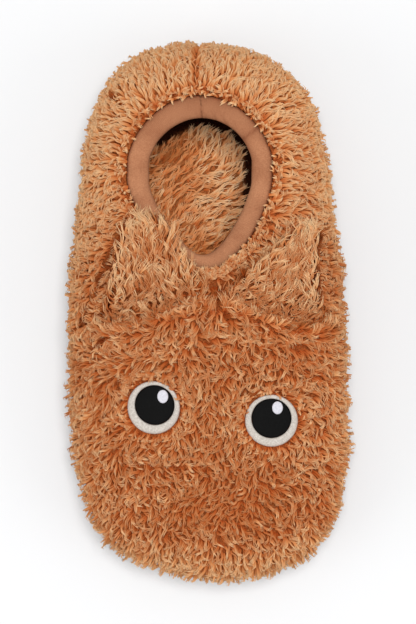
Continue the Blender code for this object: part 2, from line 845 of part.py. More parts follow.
def build_eye(eye, collection, ring_material, pupil_material, glint_material):
    name, rx, ry, rr, px, py, pr, gx, gy, gr = eye
    count = 24
    hole = circle(px, py, pr + GAP, count)
    edge = circle(rx, ry, rr, count)
    stitched_patch("eye_ring_" + name, [hole, edge], EYE_GAP, STITCH_THICK * 1.2, collection,
                   ring_material, hole=True)
    stitched_patch("eye_pupil_" + name, [circle(px, py, pr * 0.5, count), circle(px, py, pr, count)],
                   EYE_GAP, STITCH_THICK, collection, pupil_material)
    stitched_patch("eye_glint_" + name, [circle(gx, gy, gr, 12)],
                   EYE_GAP * 2.0 + STITCH_THICK, GLINT_THICK, collection, glint_material)


def recentre(collection):
    """Put the middle of the whole box over the origin, with the sole's flat spots on z = 0."""
    low = np.full(3, 1e9)
    high = np.full(3, -1e9)
    for obj in collection.objects:
        points = np.array([v.co for v in obj.data.vertices])
        low = np.minimum(low, points.min(axis=0))
        high = np.maximum(high, points.max(axis=0))
    shift = (-(low[0] + high[0]) / 2.0, -(low[1] + high[1]) / 2.0, -low[2])
    for obj in collection.objects:
        for vertex in obj.data.vertices:
            vertex.co.x += shift[0]
            vertex.co.y += shift[1]
            vertex.co.z += shift[2]
        obj.data.update()


def main():
    for obj in list(bpy.data.objects):
        bpy.data.objects.remove(obj, do_unlink=True)
    collection = bpy.data.collections.new("house_slipper")
    bpy.context.scene.collection.children.link(collection)
    plush = make_material("brown_plush", (0.50, 0.24, 0.12), 0.9)
    rib = make_material("rib_knit", (0.45, 0.22, 0.13), 0.85)
    footbed = make_material("footbed_plush", (0.52, 0.28, 0.16), 0.9)
    outsole = make_material("soft_outsole", (0.16, 0.11, 0.08), 0.8)
    thread_pale = make_material("pale_thread", (0.62, 0.59, 0.53), 0.6)
    thread_black = make_material("black_thread", (0.008, 0.008, 0.007), 0.45)
    thread_white = make_material("white_thread", (0.80, 0.80, 0.78), 0.55)
    build_sole(collection, outsole)
    build_insole(collection, footbed)
    build_upper(collection, plush)
    build_binding(collection, rib)
    for ear in EARS:
        build_ear(ear, collection, plush)
    for eye in EYES:
        build_eye(eye, collection, thread_pale, thread_black, thread_white)
    recentre(collection)


main()
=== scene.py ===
"""House slipper in curly plush, for the right foot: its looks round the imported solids.

Metres, +Z up, toe toward -Y, the big-toe side toward +X. The sections are worked out from the
same named sizes and short tables as the solids, so cloth, pile and stitching sit on them.
"""

import math

import bpy
import numpy as np
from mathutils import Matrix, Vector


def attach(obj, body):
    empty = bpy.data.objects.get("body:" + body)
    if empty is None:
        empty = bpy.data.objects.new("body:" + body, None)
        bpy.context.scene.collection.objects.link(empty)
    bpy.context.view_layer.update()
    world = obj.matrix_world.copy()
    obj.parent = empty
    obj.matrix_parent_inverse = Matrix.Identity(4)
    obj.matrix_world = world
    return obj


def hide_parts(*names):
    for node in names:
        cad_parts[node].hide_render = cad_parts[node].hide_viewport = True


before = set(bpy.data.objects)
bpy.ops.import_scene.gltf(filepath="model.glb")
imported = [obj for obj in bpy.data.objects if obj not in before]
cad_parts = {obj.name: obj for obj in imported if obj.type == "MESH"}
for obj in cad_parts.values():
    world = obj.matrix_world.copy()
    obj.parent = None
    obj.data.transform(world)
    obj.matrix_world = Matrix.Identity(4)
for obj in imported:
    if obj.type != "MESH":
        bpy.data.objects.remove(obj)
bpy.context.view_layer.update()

# Overall sizes, measured over the pile.
LENGTH = 0.257
BALL_WIDTH = 0.133
INSTEP_HEIGHT = 0.073
HEEL_HEIGHT = 0.0645
BULGE_HEIGHT = 0.024
PILE = 0.0046
BACKING_DEPTH = PILE + 0.0002
WALL = 0.005
GAP = 0.0003
SECTION_POWER = 2.3
TOE_ROUND = 0.027
HEEL_ROUND = 0.028
ROUND_POWER = 2.2
TUCK_ANGLE = math.radians(64.0)

# Sole and footbed.
SOLE_FORE = 0.007
SOLE_HEEL = 0.009
SOLE_EDGE = 0.0018
SOLE_ROUND = 0.002
SOLE_SETBACK = 0.0075
TOE_SPRING = 0.006
SPRING_START = -0.068
ARCH_RISE = 0.0015
ARCH_START = -0.032
ARCH_END = 0.034
INSOLE_THICK = 0.004
FOOTBED_HIGH = 0.016

# Collar and opening.
COLLAR_LENGTH = 0.0822
COLLAR_WIDTH = 0.069
COLLAR_SETBACK = 0.0276
OPENING_LENGTH = 0.0639
OPENING_WIDTH = 0.0485
OPENING_SETBACK = 0.0384

# Eyes and ears.
EYE_GAP = 0.00036
STITCH_THICK = 0.0012
GLINT_THICK = 0.0008
EAR_THICK = 0.0105
EAR_TIP_THICK = 0.0065
EAR_INSET = 0.0012

# share of length from the toe, half width / half ball width, centre shift / half ball width
OUTLINE = (
    (0.0, 0.0, 0.098),
    (0.0165, 0.376, 0.096),
    (0.040, 0.590, 0.080),
    (0.063, 0.735, 0.064),
    (0.0865, 0.812, 0.053),
    (0.110, 0.865, 0.045),
    (0.133, 0.903, 0.036),
    (0.157, 0.932, 0.026),
    (0.203, 0.970, 0.018),
    (0.250, 0.990, 0.012),
    (0.344, 0.997, -0.004),
    (0.461, 0.992, -0.008),
    (0.554, 0.975, -0.018),
    (0.648, 0.932, -0.022),
    (0.741, 0.902, -0.022),
    (0.811, 0.862, -0.028),
    (0.858, 0.822, -0.033),
    (0.905, 0.752, -0.034),
    (0.928, 0.692, -0.040),
    (0.951, 0.608, -0.050),
    (0.975, 0.478, -0.065),
    (1.0, 0.0, -0.080),
)

# share of length from the toe, share of the instep rise, share of the heel rise
CREST = (
    (0.0, 0.47, 0.0),
    (0.10, 0.49, 0.0),
    (0.20, 0.60, 0.0),
    (0.35, 0.78, 0.0),
    (0.50, 0.94, 0.0),
    (0.575, 1.0, 0.0),
    (0.70, 0.62, 0.44),
    (0.82, 0.20, 0.86),
    (0.90, 0.0, 1.0),
    (1.0, 0.0, 0.98),
)

# share of length from the toe, kept width on the outer side, kept width on the inner side
SOLE_SHARE = (
    (0.0, 0.88, 0.88),
    (0.25, 0.865, 0.865),
    (0.50, 0.84, 0.76),
    (0.62, 0.83, 0.755),
    (0.80, 0.84, 0.83),
    (1.0, 0.88, 0.88),
)

# share along the collar from throat to heel, half width share, centre shift share
COLLAR = (
    (0.0, 0.0, 0.030),
    (0.077, 0.390, 0.012),
    (0.137, 0.550, -0.005),
    (0.283, 0.790, -0.036),
    (0.405, 0.928, -0.058),
    (0.527, 0.994, -0.072),
    (0.624, 0.991, -0.071),
    (0.746, 0.904, -0.070),
    (0.843, 0.754, -0.070),
    (0.928, 0.530, -0.070),
    (1.0, 0.0, -0.070),
)

# share along the opening from throat to heel, half width share, centre shift share
OPENING = (
    (0.0, 0.0, -0.020),
    (0.080, 0.355, -0.022),
    (0.200, 0.600, -0.045),
    (0.370, 0.850, -0.075),
    (0.550, 0.990, -0.090),
    (0.680, 0.990, -0.088),
    (0.800, 0.880, -0.085),
    (0.900, 0.668, -0.075),
    (0.960, 0.433, -0.068),
    (1.0, 0.0, -0.062),
)

# share round half the outline from the heel, share round half the collar from the heel
PAIRS = (
    (0.0, 0.0),
    (0.23, 0.34),
    (0.315, 0.50),
    (0.39, 0.635),
    (0.50, 0.77),
    (0.60, 0.845),
    (0.72, 0.905),
    (0.86, 0.955),
    (1.0, 1.0),
)

# name, ring x, ring y, ring radius, pupil x, pupil y, pupil radius, glint x, glint y, glint radius
EYES = (
    ("lateral", -0.0242, -0.0452, 0.0125, -0.0237, -0.0440, 0.0093, -0.0197, -0.0399, 0.0028),
    ("medial", 0.0309, -0.0513, 0.0123, 0.0309, -0.0502, 0.0092, 0.0338, -0.0452, 0.0027),
)

# name, outer base x, y, inner base x, y, tip x, y, tip height, steep rise over the base, taper
EARS = (
    ("lateral", -0.0480, -0.0048, 0.0030, 0.0085, -0.0275, 0.0400, 0.0880, 0.0105, 0.60),
    ("medial", 0.0555, -0.0046, 0.0096, 0.0088, 0.0490, 0.0362, 0.0850, 0.0100, 0.74),
)

# share up the ear, share of the tapered half width
EAR_SHAPE = (
    (0.0, 0.96),
    (0.12, 1.0),
    (0.60, 1.0),
    (0.80, 0.935),
    (0.92, 0.785),
    (0.975, 0.54),
    (1.0, 0.0),
)

# share across from the collar to the opening, height over the shell
BAND_SECTION = (
    (0.0, -0.0034),
    (0.0, -0.0008),
    (0.02, 0.0),
    (0.07, 0.0006),
    (0.14, 0.0011),
    (0.24, 0.0015),
    (0.36, 0.0018),
    (0.48, 0.00195),
    (0.60, 0.0019),
    (0.72, 0.0017),
    (0.83, 0.0013),
    (0.92, 0.0007),
    (0.97, 0.0001),
    (1.0, -0.0008),
    (1.0, -0.0020),
    (0.98, -0.0027),
    (0.90, -0.0031),
    (0.60, -0.0036),
    (0.30, -0.0039),
    (0.04, -0.0040),
)
LAP_PLACE = (0.0235, 0.0845)
LAP_WAY = (0.75, -1.0)

# share out from the top's edge to the underside's, share of the fall between them
SOLE_BANDS = ((0.0, 0.35), (0.0, 0.72), (0.10, 0.84), (0.35, 0.945), (0.70, 0.99))

# Repeats of knit, stitching and grip dots.
RIB_PITCH = 0.00085
STITCH_PITCH = 0.0024
THREAD_PITCH = 0.00042
RING_THREADS = 170.0
GRIP_PITCH = 0.0056

# Lengths and heights of the locks, from the shortest to the longest.
UPPER_LENGTH = (0.0052, 0.0080)
UPPER_HEIGHT = (0.0038, 0.0052)
EDGING_LENGTH = (0.0020, 0.0046)
EDGING_HEIGHT = (0.0034, 0.0050)
CREASE_LENGTH = (0.0075, 0.0110)
CREASE_HEIGHT = (0.0062, 0.0092)
EAR_LENGTH = (0.0078, 0.0118)
EAR_HEIGHT = (0.0026, 0.0042)
FOOTBED_LENGTH = (0.0064, 0.0094)
FOOTBED_HEIGHT = (0.0030, 0.0046)

# Spots in plan where the pile is deeper, longer or paler, or painted darker as shade: middle x, y,
# half width, half length.
LOW_SPOT = (0.010, -0.090, 0.034, 0.020)
TOE_CORNER = (-0.042, -0.110, 0.018, 0.014)
SIDE_TUFT = (0.064, 0.021, 0.006, 0.005)
PALE_SPOT = (0.026, 0.020, 0.012, 0.012)
FOOTBED_SPOT = (-0.017, 0.070, 0.010, 0.011)

# Two irrational steps, 1 / p and 1 / p^2 with p^3 = p + 1, that spread points evenly.
PLASTIC_NUMBER = 1.324717957244746
EVEN_STEPS = (1.0 / PLASTIC_NUMBER, 1.0 / PLASTIC_NUMBER ** 2)

# Locks of pile: how many, where the footbed's end, the partings, the lowest height with shade
# beside an ear, the least height over the floor, and where the pieces are cut.
UPPER_LOCKS = 7700
EAR_LOCKS = 640
BAND_LOCKS = 400
EYE_LOCKS = 80
CREASE_LOCKS = 90
FOOTBED_LOCKS = 1350
FOOTBED_PILE_END = -0.014
HEEL_PARTING = -0.0045
TOE_PARTING = 0.0005
SHADE_HEIGHT = 0.040
PILE_FLOOR = 0.0012
LOCK_KEYS = ("root", "normal", "way", "length", "height", "curl", "tone")
PILE_CUTS = (-0.070, -0.018, 0.046)

# name, strand's half width, swing, share of its own normals, painted shade on its flanks as a tone
# drop
PILE_PIECES = (
    ("pile_toe", 0.00038, 0.5, 0.85, -0.36),
    ("pile_vamp", 0.00038, 0.5, 0.75, -0.34),
    ("pile_quarter", 0.00043, 0.5, 0.75, -0.34),
    ("pile_heel", 0.00043, 0.3, 0.6, -0.22),
)

# Furrows in the combed pile, painted as shade: plan ends and half width.
FURROWS = (
    (0.0138, -0.0350, 0.0358, -0.0364, 0.0010),
    (0.0386, -0.0195, 0.0480, -0.0208, 0.0009),
    (0.0020, 0.0112, 0.0120, 0.0093, 0.0016),
    (0.0020, 0.0050, 0.0090, 0.0000, 0.0013),
    (-0.0425, 0.1000, -0.0350, 0.0935, 0.0008),
    (-0.0485, -0.0100, -0.0480, -0.0170, 0.0010),
)

# Plan points of a pale curled tip that stands up beside the band.
BEAD = ((-0.0375, 0.0700), (-0.0372, 0.0694), (-0.0370, 0.0704))

# Where the camera stands, what it is aimed at, and the height that its frame takes in.
EYE_POINT = np.array([0.0765, 0.00575, 1.48])
AIM_POINT = np.array([0.0, -0.0005, 0.030])
FRAME_HEIGHT = 0.297
SENSOR_HEIGHT = 36.0

# name, place it shines from, strength, spread in degrees
LIGHTS = (
    ("softbox", (0.12, 0.14, 1.20), 2.28, 24.0),
    ("fill_left", (-1.00, -0.35, 0.55), 0.60, 40.0),
    ("fill_right", (1.00, -0.35, 0.55), 0.50, 40.0),
)
ROOM_LIGHT = 0.45

rng = np.random.default_rng(11)


def unit(vectors):
    """Vectors divided by their length."""
    length = np.linalg.norm(vectors, axis=-1, keepdims=True)
    return vectors / np.maximum(length, 1e-12)


def level(vectors):
    """Plan vectors with no rise."""
    return np.concatenate([vectors, np.zeros((len(vectors), 1))], axis=1)


def laid(way, normal):
    """Directions laid into a surface: unit(way - normal * (way . normal))."""
    return unit(way - normal * np.sum(way * normal, axis=1)[:, None])


def turned(way, side, angle):
    """A way turned toward its side: way * cos(angle) + side * sin(angle)."""
    return way * np.cos(angle)[:, None] + side * np.sin(angle)[:, None]


def smooth_share(value, low, high):
    """0 at low and 1 at high, eased at both ends."""
    s = np.clip((value - low) / (high - low), 0.0, 1.0)
    return s * s * (3.0 - 2.0 * s)


def bell(value, middle, width):
    """1 at the middle, falling off as exp(-((value - middle) / width)^2)."""
    return np.exp(-((value - middle) / width) ** 2)


def spot(point, place):
    """A bell both ways in plan, round a place with its half sizes."""
    return bell(point[:, 0], place[0], place[2]) * bell(point[:, 1], place[1], place[3])


def table_curve(table, column, at, power=1.0):
    """Monotone cubic through one column of a table, worked out on the value raised to a power."""
    x = np.array([row[0] for row in table])
    y = np.array([row[column] for row in table])
    y = np.sign(y) * np.abs(y) ** power
    h = np.diff(x)
    d = np.diff(y) / h
    m = np.zeros(len(x))
    m[0] = d[0]
    m[-1] = d[-1]
    for k in range(1, len(x) - 1):
        if d[k - 1] * d[k] > 0.0:
            w1 = 2.0 * h[k] + h[k - 1]
            w2 = h[k] + 2.0 * h[k - 1]
            m[k] = (w1 + w2) / (w1 / d[k - 1] + w2 / d[k])
    t = np.clip(np.asarray(at, dtype=float), x[0], x[-1])
    k = np.clip(np.searchsorted(x, t, side="right") - 1, 0, len(h) - 1)
    s = (t - x[k]) / h[k]
    a = (1.0 + 2.0 * s) * (1.0 - s) ** 2
    b = s * (1.0 - s) ** 2
    c = s * s * (3.0 - 2.0 * s)
    e = s * s * (s - 1.0)
    value = a * y[k] + b * h[k] * m[k] + c * y[k + 1] + e * h[k] * m[k + 1]
    return np.sign(value) * np.abs(value) ** (1.0 / power)


def half_width(t):
    """Half the outline's width at a share of the length, from OUTLINE."""
    return np.maximum(table_curve(OUTLINE, 1, t, 2.0), 0.0) * BALL_WIDTH / 2.0


def centre_line(t):
    """The outline's shift to the side at a share of the length, from OUTLINE."""
    return table_curve(OUTLINE, 2, t) * BALL_WIDTH / 2.0


def width_scale(depth):
    """How much narrower a shell is that lies a depth below the pile tips."""
    return 1.0 - depth / (0.475 * BALL_WIDTH)


def length_scale(depth):
    """How much shorter a shell is that lies a depth below the pile tips."""
    return 1.0 - 2.0 * depth / LENGTH


def top_height(x, y, depth):
    """Height of the shell a depth below the pile tips: bulge + rise * (1 - share^p)^(1/p)."""
    t = np.clip(y / length_scale(depth) / LENGTH + 0.5, 0.0, 1.0)
    half = np.maximum(half_width(t) * width_scale(depth), 1e-6)
    share = np.clip(np.abs(x - centre_line(t)) / half, 0.0, 1.0)
    instep = table_curve(CREST, 1, t) * (INSTEP_HEIGHT - BULGE_HEIGHT)
    heel = table_curve(CREST, 2, t) * (HEEL_HEIGHT - BULGE_HEIGHT)
    toe_end = 1.0 - np.clip(t * LENGTH / TOE_ROUND, 0.0, 1.0)
    heel_end = 1.0 - np.clip((1.0 - t) * LENGTH / HEEL_ROUND, 0.0, 1.0)
    ends = ((1.0 - toe_end ** ROUND_POWER) * (1.0 - heel_end ** ROUND_POWER)) ** (1 / ROUND_POWER)
    rise = (instep + heel - depth) * ends
    return BULGE_HEIGHT + rise * (1.0 - share ** SECTION_POWER) ** (1.0 / SECTION_POWER)


def top_normal(x, y, depth):
    """Unit normal of the shell's upper side, from its slopes."""
    step = 0.0004
    dx = (top_height(x + step, y, depth) - top_height(x - step, y, depth)) / (2.0 * step)
    dy = (top_height(x, y + step, depth) - top_height(x, y - step, depth)) / (2.0 * step)
    return unit(np.stack([-dx, -dy, np.ones_like(dx)], axis=-1))


def toe_lift(y):
    """Toe spring: TOE_SPRING * (share of the way from SPRING_START to the toe)^1.8."""
    reach = np.clip((SPRING_START - y) / (SPRING_START + LENGTH / 2.0), 0.0, 1.0)
    return TOE_SPRING * reach ** 1.8


def sole_top(y):
    """Top of the sole: its thickness, eased from fore to heel, plus the toe spring."""
    heel = smooth_share(y, ARCH_START, ARCH_END)
    return SOLE_FORE + (SOLE_HEEL - SOLE_FORE) * heel + toe_lift(y)


def sole_under(y):
    """Underside of the sole: an arch of sin^2 at the waist, plus the toe spring."""
    share = np.clip((y - ARCH_START) / (ARCH_END - ARCH_START), 0.0, 1.0)
    return ARCH_RISE * np.sin(math.pi * share) ** 2 + toe_lift(y)


def ring_at(table, length, width, start, shares):
    """Loop points, with their table place and side, at shares round it: 0 heel, 0.5 toe.

    x is middle + side * half width and y is start + table place * length.
    """
    side = np.where(shares < 0.5, -1.0, 1.0)
    local = np.where(shares < 0.5, 2.0 * shares, 2.0 * (1.0 - shares))
    t = 0.5 + 0.5 * np.cos(np.linspace(0.0, math.pi, 400))
    half = np.maximum(table_curve(table, 1, t, 2.0), 0.0) * width / 2.0
    middle = table_curve(table, 2, t) * width / 2.0
    out = np.zeros((len(shares), 4))
    for way in (-1.0, 1.0):
        x = middle + way * half
        y = start + t * length
        arc = np.concatenate([[0.0], np.cumsum(np.hypot(np.diff(x), np.diff(y)))])
        arc /= arc[-1]
        mine = side == way
        out[mine, 0] = np.interp(local[mine], arc, x)
        out[mine, 1] = np.interp(local[mine], arc, y)
        out[mine, 2] = np.interp(local[mine], arc, t)
        out[mine, 3] = way
    return out


def rings(shares):
    """Outline, collar and opening rings whose points stand opposite each other."""
    local = np.where(shares < 0.5, 2.0 * shares, 2.0 * (1.0 - shares))
    moved = table_curve(PAIRS, 1, local) / 2.0
    paired = np.where(shares < 0.5, moved, 1.0 - moved)
    heel = LENGTH / 2.0
    outline = ring_at(OUTLINE, LENGTH, BALL_WIDTH, -heel, shares)
    collar = ring_at(COLLAR, COLLAR_LENGTH, COLLAR_WIDTH,
                     heel - COLLAR_SETBACK - COLLAR_LENGTH, paired)
    opening = ring_at(OPENING, OPENING_LENGTH, OPENING_WIDTH,
                      heel - OPENING_SETBACK - OPENING_LENGTH, paired)
    return outline, collar, opening


def bulge_ring(outline, depth):
    """The widest loop of a shell: the outline drawn in by its depth."""
    t = outline[:, 2]
    x = centre_line(t) + outline[:, 3] * half_width(t) * width_scale(depth)
    return np.stack([x, outline[:, 1] * length_scale(depth)], axis=1)


def feather_ring(outline, depth):
    """The loop where a shell meets the sole: the bulge drawn in by SOLE_SHARE and the setback."""
    t = outline[:, 2]
    ring = bulge_ring(outline, depth)
    keep = np.where(outline[:, 3] < 0.0, table_curve(SOLE_SHARE, 1, t),
                    table_curve(SOLE_SHARE, 2, t))
    middle = centre_line(t)
    x = middle + (ring[:, 0] - middle) * keep
    return np.stack([x, ring[:, 1] * (1.0 - 2.0 * SOLE_SETBACK / LENGTH)], axis=1)


def shell_grid(depth, columns, rows):
    """Columns of a shell from the feather edge out to the bulge and over to the collar.

    Below the bulge the plan runs with 1 - cos and the height with sin of an angle; above it the
    plan runs with share^2.2 to the collar and the height is top_height. Points are then evened.
    """
    outline, collar, _ = rings(np.arange(columns) / columns)
    bulge = bulge_ring(outline, depth)
    feather = feather_ring(outline, depth)
    foot = sole_top(feather[:, 1]) + GAP
    angle = np.linspace(1.0, 0.0, 24)[:-1] * TUCK_ANGLE
    inward = (1.0 - np.cos(angle)) / (1.0 - math.cos(TUCK_ANGLE))
    down = np.sin(angle) / math.sin(TUCK_ANGLE)
    climb = np.linspace(0.0, 1.0, 110) ** 2.2
    low = np.zeros((columns, len(angle), 3))
    low[..., :2] = bulge[:, None] + (feather - bulge)[:, None] * inward[None, :, None]
    low[..., 2] = BULGE_HEIGHT + (foot - BULGE_HEIGHT)[:, None] * down[None]
    high = np.zeros((columns, len(climb), 3))
    high[..., :2] = bulge[:, None] + (collar[:, :2] - bulge)[:, None] * climb[None, :, None]
    high[..., 2] = top_height(high[..., 0], high[..., 1], depth)
    high[:, 0, 2] = BULGE_HEIGHT
    path = np.concatenate([low, high], axis=1)
    steps = np.linalg.norm(np.diff(path, axis=1), axis=2)
    arc = np.concatenate([np.zeros((columns, 1)), np.cumsum(steps, axis=1)], axis=1)
    grid = np.zeros((columns, rows + 1, 3))
    for j in range(columns):
        even = np.linspace(0.0, arc[j, -1], rows + 1)
        for axis in range(3):
            grid[j, :, axis] = np.interp(even, arc[j], path[j, :, axis])
    return grid


def inward_ring(ring, distance):
    """A closed plan loop moved along its own inward direction."""
    ahead = np.roll(ring, -1, axis=0)
    way = unit(ahead - np.roll(ring, 1, axis=0))
    normal = np.stack([-way[:, 1], way[:, 0]], axis=1)
    area = np.sum(ring[:, 0] * ahead[:, 1] - ahead[:, 0] * ring[:, 1])
    return ring + normal * distance * (1.0 if area > 0.0 else -1.0)


class Nodes:
    """Adds nodes to one material. An Ask wraps a socket, so 1 - a * b adds Math nodes."""

    def __init__(self, name):
        self.material = bpy.data.materials.new(name)
        self.material.use_nodes = True
        self.tree = self.material.node_tree
        self.shader = self.tree.nodes["Principled BSDF"]

    def add(self, kind, settings=None, output=0, **inputs):
        """One node. Inputs go by name, with _ for a space, or by place as i0, i1 and so on."""
        node = self.tree.nodes.new(kind)
        for key, value in (settings or {}).items():
            setattr(node, key, value)
        for key, value in inputs.items():
            place = int(key[1:]) if key[1:].isdigit() else key.replace("_", " ")
            self.put(node.inputs[place], value)
        return Ask(self, node.outputs[output])

    def put(self, socket, value):
        if isinstance(value, Ask):
            self.tree.links.new(value.socket, socket)
        else:
            socket.default_value = value

    def math(self, operation, a, b=0.0):
        return self.add("ShaderNodeMath", {"operation": operation}, i0=a, i1=b)

    def mix(self, share, a, b):
        """Colour a where share is 0 and b where it is 1."""
        return self.add("ShaderNodeMix", {"data_type": "RGBA"}, 2, i0=share, i6=a, i7=b)

    def range(self, value, low, high, new_low=0.0, new_high=1.0):
        return self.add("ShaderNodeMapRange", {"clamp": True}, i0=value, i1=low, i2=high,
                        i3=new_low, i4=new_high)

    def noise(self, scale, detail=2.0, roughness=0.5, distortion=0.0):
        return self.add("ShaderNodeTexNoise", Vector=self.place(), Scale=scale, Detail=detail,
                        Roughness=roughness, Distortion=distortion)

    def wave(self, value):
        """Sine of a value, from 0 to 1."""
        return self.math("SINE", value) * 0.5 + 0.5

    def place(self):
        return self.add("ShaderNodeTexCoord", None, 3)

    def axis(self, k):
        """One of the three numbers of the place in object space."""
        return self.add("ShaderNodeSeparateXYZ", None, k, Vector=self.place())

    def attribute(self, name):
        return self.add("ShaderNodeAttribute", {"attribute_name": name}, 2)

    def bump(self, height, distance):
        return self.add("ShaderNodeBump", Height=height, Distance=distance, Strength=1.0)

    def surface(self, **inputs):
        for key, value in inputs.items():
            self.put(self.shader.inputs[key.replace("_", " ")], value)
        return self.material


class Ask:
    """A node's output that takes part in arithmetic."""

    def __init__(self, nodes, socket):
        self.nodes = nodes
        self.socket = socket

    def __add__(self, other):
        return self.nodes.math("ADD", self, other)

    def __sub__(self, other):
        return self.nodes.math("SUBTRACT", self, other)

    def __rsub__(self, other):
        return self.nodes.math("SUBTRACT", other, self)

    def __mul__(self, other):
        return self.nodes.math("MULTIPLY", self, other)

    __radd__ = __add__
    __rmul__ = __mul__


def srgb(red, green, blue):
    """Linear colour from the eye's 0 to 255 scale."""
    def one(value):
        value /= 255.0
        return value / 12.92 if value <= 0.04045 else ((value + 0.055) / 1.055) ** 2.4
    return (one(red), one(green), one(blue), 1.0)


def mesh_object(name, verts, loops, totals=4, uv=None, **attributes):
    """A mesh from whole arrays: points, corner indices and corners per face."""
    loops = np.ravel(loops)
    if np.ndim(totals) == 0:
        totals = np.full(len(loops) // totals, totals)
    mesh = bpy.data.meshes.new(name)
    mesh.vertices.add(len(verts))
    mesh.vertices.foreach_set("co", np.asarray(verts, dtype=np.float32).ravel())
    mesh.loops.add(len(loops))
    mesh.loops.foreach_set("vertex_index", loops.astype(np.int32))
    starts = np.concatenate([[0], np.cumsum(totals)[:-1]])
    mesh.polygons.add(len(totals))
    mesh.polygons.foreach_set("loop_start", starts.astype(np.int32))
    mesh.polygons.foreach_set("loop_total", np.asarray(totals, dtype=np.int32))
    mesh.polygons.foreach_set("use_smooth", np.ones(len(totals), dtype=bool))
    if uv is not None:
        layer = mesh.uv_layers.new(name="OFBake")
        layer.data.foreach_set("uv", np.asarray(uv, dtype=np.float32).ravel())
    for key, values in attributes.items():
        layer = mesh.attributes.new(key, "FLOAT", "POINT")
        layer.data.foreach_set("value", np.asarray(values, dtype=np.float32).ravel())
    mesh.update(calc_edges=True)
    mesh.validate()
    obj = bpy.data.objects.new(name, mesh)
    bpy.context.scene.collection.objects.link(obj)
    return obj


def grid_faces(rows, columns, wrap_rows=False, wrap_columns=False):
    """Corner indices of a grid of points, row after row."""
    r = np.arange(rows if wrap_rows else rows - 1)
    c = np.arange(columns if wrap_columns else columns - 1)
    r, c = [a.ravel() for a in np.meshgrid(r, c, indexing="ij")]
    r1 = (r + 1) % rows
    c1 = (c + 1) % columns
    return np.stack([r * columns + c, r * columns + c1, r1 * columns + c1, r1 * columns + c], 1)


def outward(verts, quads):
    """Turns a closed mesh's faces outward by the sign of its volume."""
    p = verts[quads]
    tri = np.concatenate([p[:, [0, 1, 2]], p[:, [0, 2, 3]]])
    volume = np.sum(tri[:, 0] * np.cross(tri[:, 1], tri[:, 2]))
    return quads if volume > 0.0 else quads[:, ::-1]


def dress(obj, material, slot, *nodes):
    """Says what a piece is made of, what it rides on, and which solids it stands for."""
    obj.data.materials.append(material)
    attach(obj, "root")
    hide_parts(*nodes)


# Materials.
def pile_material(name, deep, fair):
    """Curly pile: each lock's tone mixes two root-to-tip ramps, a deep one and a fair one.

    The ramps pale toward the tip, partly the pile's own colour and partly painted highlight on the
    tips and painted shade at the roots. Tones below SHADE_TONE darken the deep ramp toward
    SHADE_COLOUR: painted shade for the bottom of creases.
    """
    n = Nodes(name)
    along = n.attribute("along")
    tone = n.attribute("tone")
    low = n.range(along, 0.05, 0.50)
    high = n.range(along, 0.45, 0.98)
    ramps = [n.mix(high, n.mix(low, ramp[0], ramp[1]), ramp[2]) for ramp in (deep, fair)]
    body = n.mix(n.range(tone, SHADE_TONE, 1.0), *ramps)
    body = n.mix(n.range(tone, 0.0, SHADE_TONE), SHADE_COLOUR, body)
    return n.surface(Base_Color=body, Roughness=0.75, Specular_IOR_Level=0.06)


def short_pile(n, deep, fair):
    """Mottled base under the locks: warped noise stands for the pile's lowest curls."""
    mottle = n.range(n.noise(520.0, 3.0, 0.6, 1.6), 0.36, 0.66)
    return n.mix(mottle, deep, fair), mottle


def cloth(n, base, relief, depth):
    """Matt cloth with a relief of the given depth."""
    return n.surface(Base_Color=base, Roughness=0.9, Specular_IOR_Level=0.06,
                     Normal=n.bump(relief, depth))


def flap_material():
    """Short pile that shows between the locks of the ears."""
    n = Nodes("pile_backing")
    return cloth(n, *short_pile(n, *BACKING_COLOURS), 0.0012)


SHADE_TONE = 0.12
SHADE_COLOUR = srgb(98, 38, 12)
BACKING_COLOURS = (srgb(168, 74, 30), srgb(206, 122, 66))
LINING_COLOURS = (srgb(214, 124, 70), srgb(238, 164, 108))
FOOTBED_COLOURS = (srgb(170, 92, 46), srgb(212, 132, 76))
# Painted shadow on the footbed cloth under the rim.
RIM_SHADOW_COLOUR = srgb(58, 28, 14)
BAND_COLOURS = (srgb(158, 103, 72), srgb(187, 130, 94))
SOLE_COLOURS = (srgb(104, 78, 60), srgb(126, 96, 76))
GRIP_COLOUR = srgb(74, 52, 40)
FLOOR_COLOUR = (0.760, 0.767, 0.776, 1.0)
PILE_MATERIAL = pile_material(
    "brown_pile",
    (srgb(172, 73, 24), srgb(169, 82, 32), srgb(177, 103, 52)),
    (srgb(204, 117, 61), srgb(217, 153, 98), srgb(236, 201, 156)))
FOOTBED_MATERIAL = pile_material(
    "footbed_pile",
    (srgb(202, 100, 44), srgb(208, 120, 62), srgb(216, 142, 84)),
    (srgb(224, 134, 76), srgb(238, 182, 126), srgb(246, 214, 172)))
FLAP_MATERIAL = flap_material()

# Strands: shares along one, swell of its half width, its three edges (up, to the side), the
# painted highlight on its top edge as a tone rise, the steps of its line, how many stand in a
# lock, and the share that strays.
LEVELS = np.array([0.0, 0.34, 0.70, 1.0])
SWELL = (0.85, 1.0, 0.68)
EDGES = ((0.85, 0.0), (-0.5, 0.95), (-0.5, -0.95))
RIDGE_HIGHLIGHT = 0.18
STEPS = 16
STRANDS = 5
STRAY_SHARE = 0.10


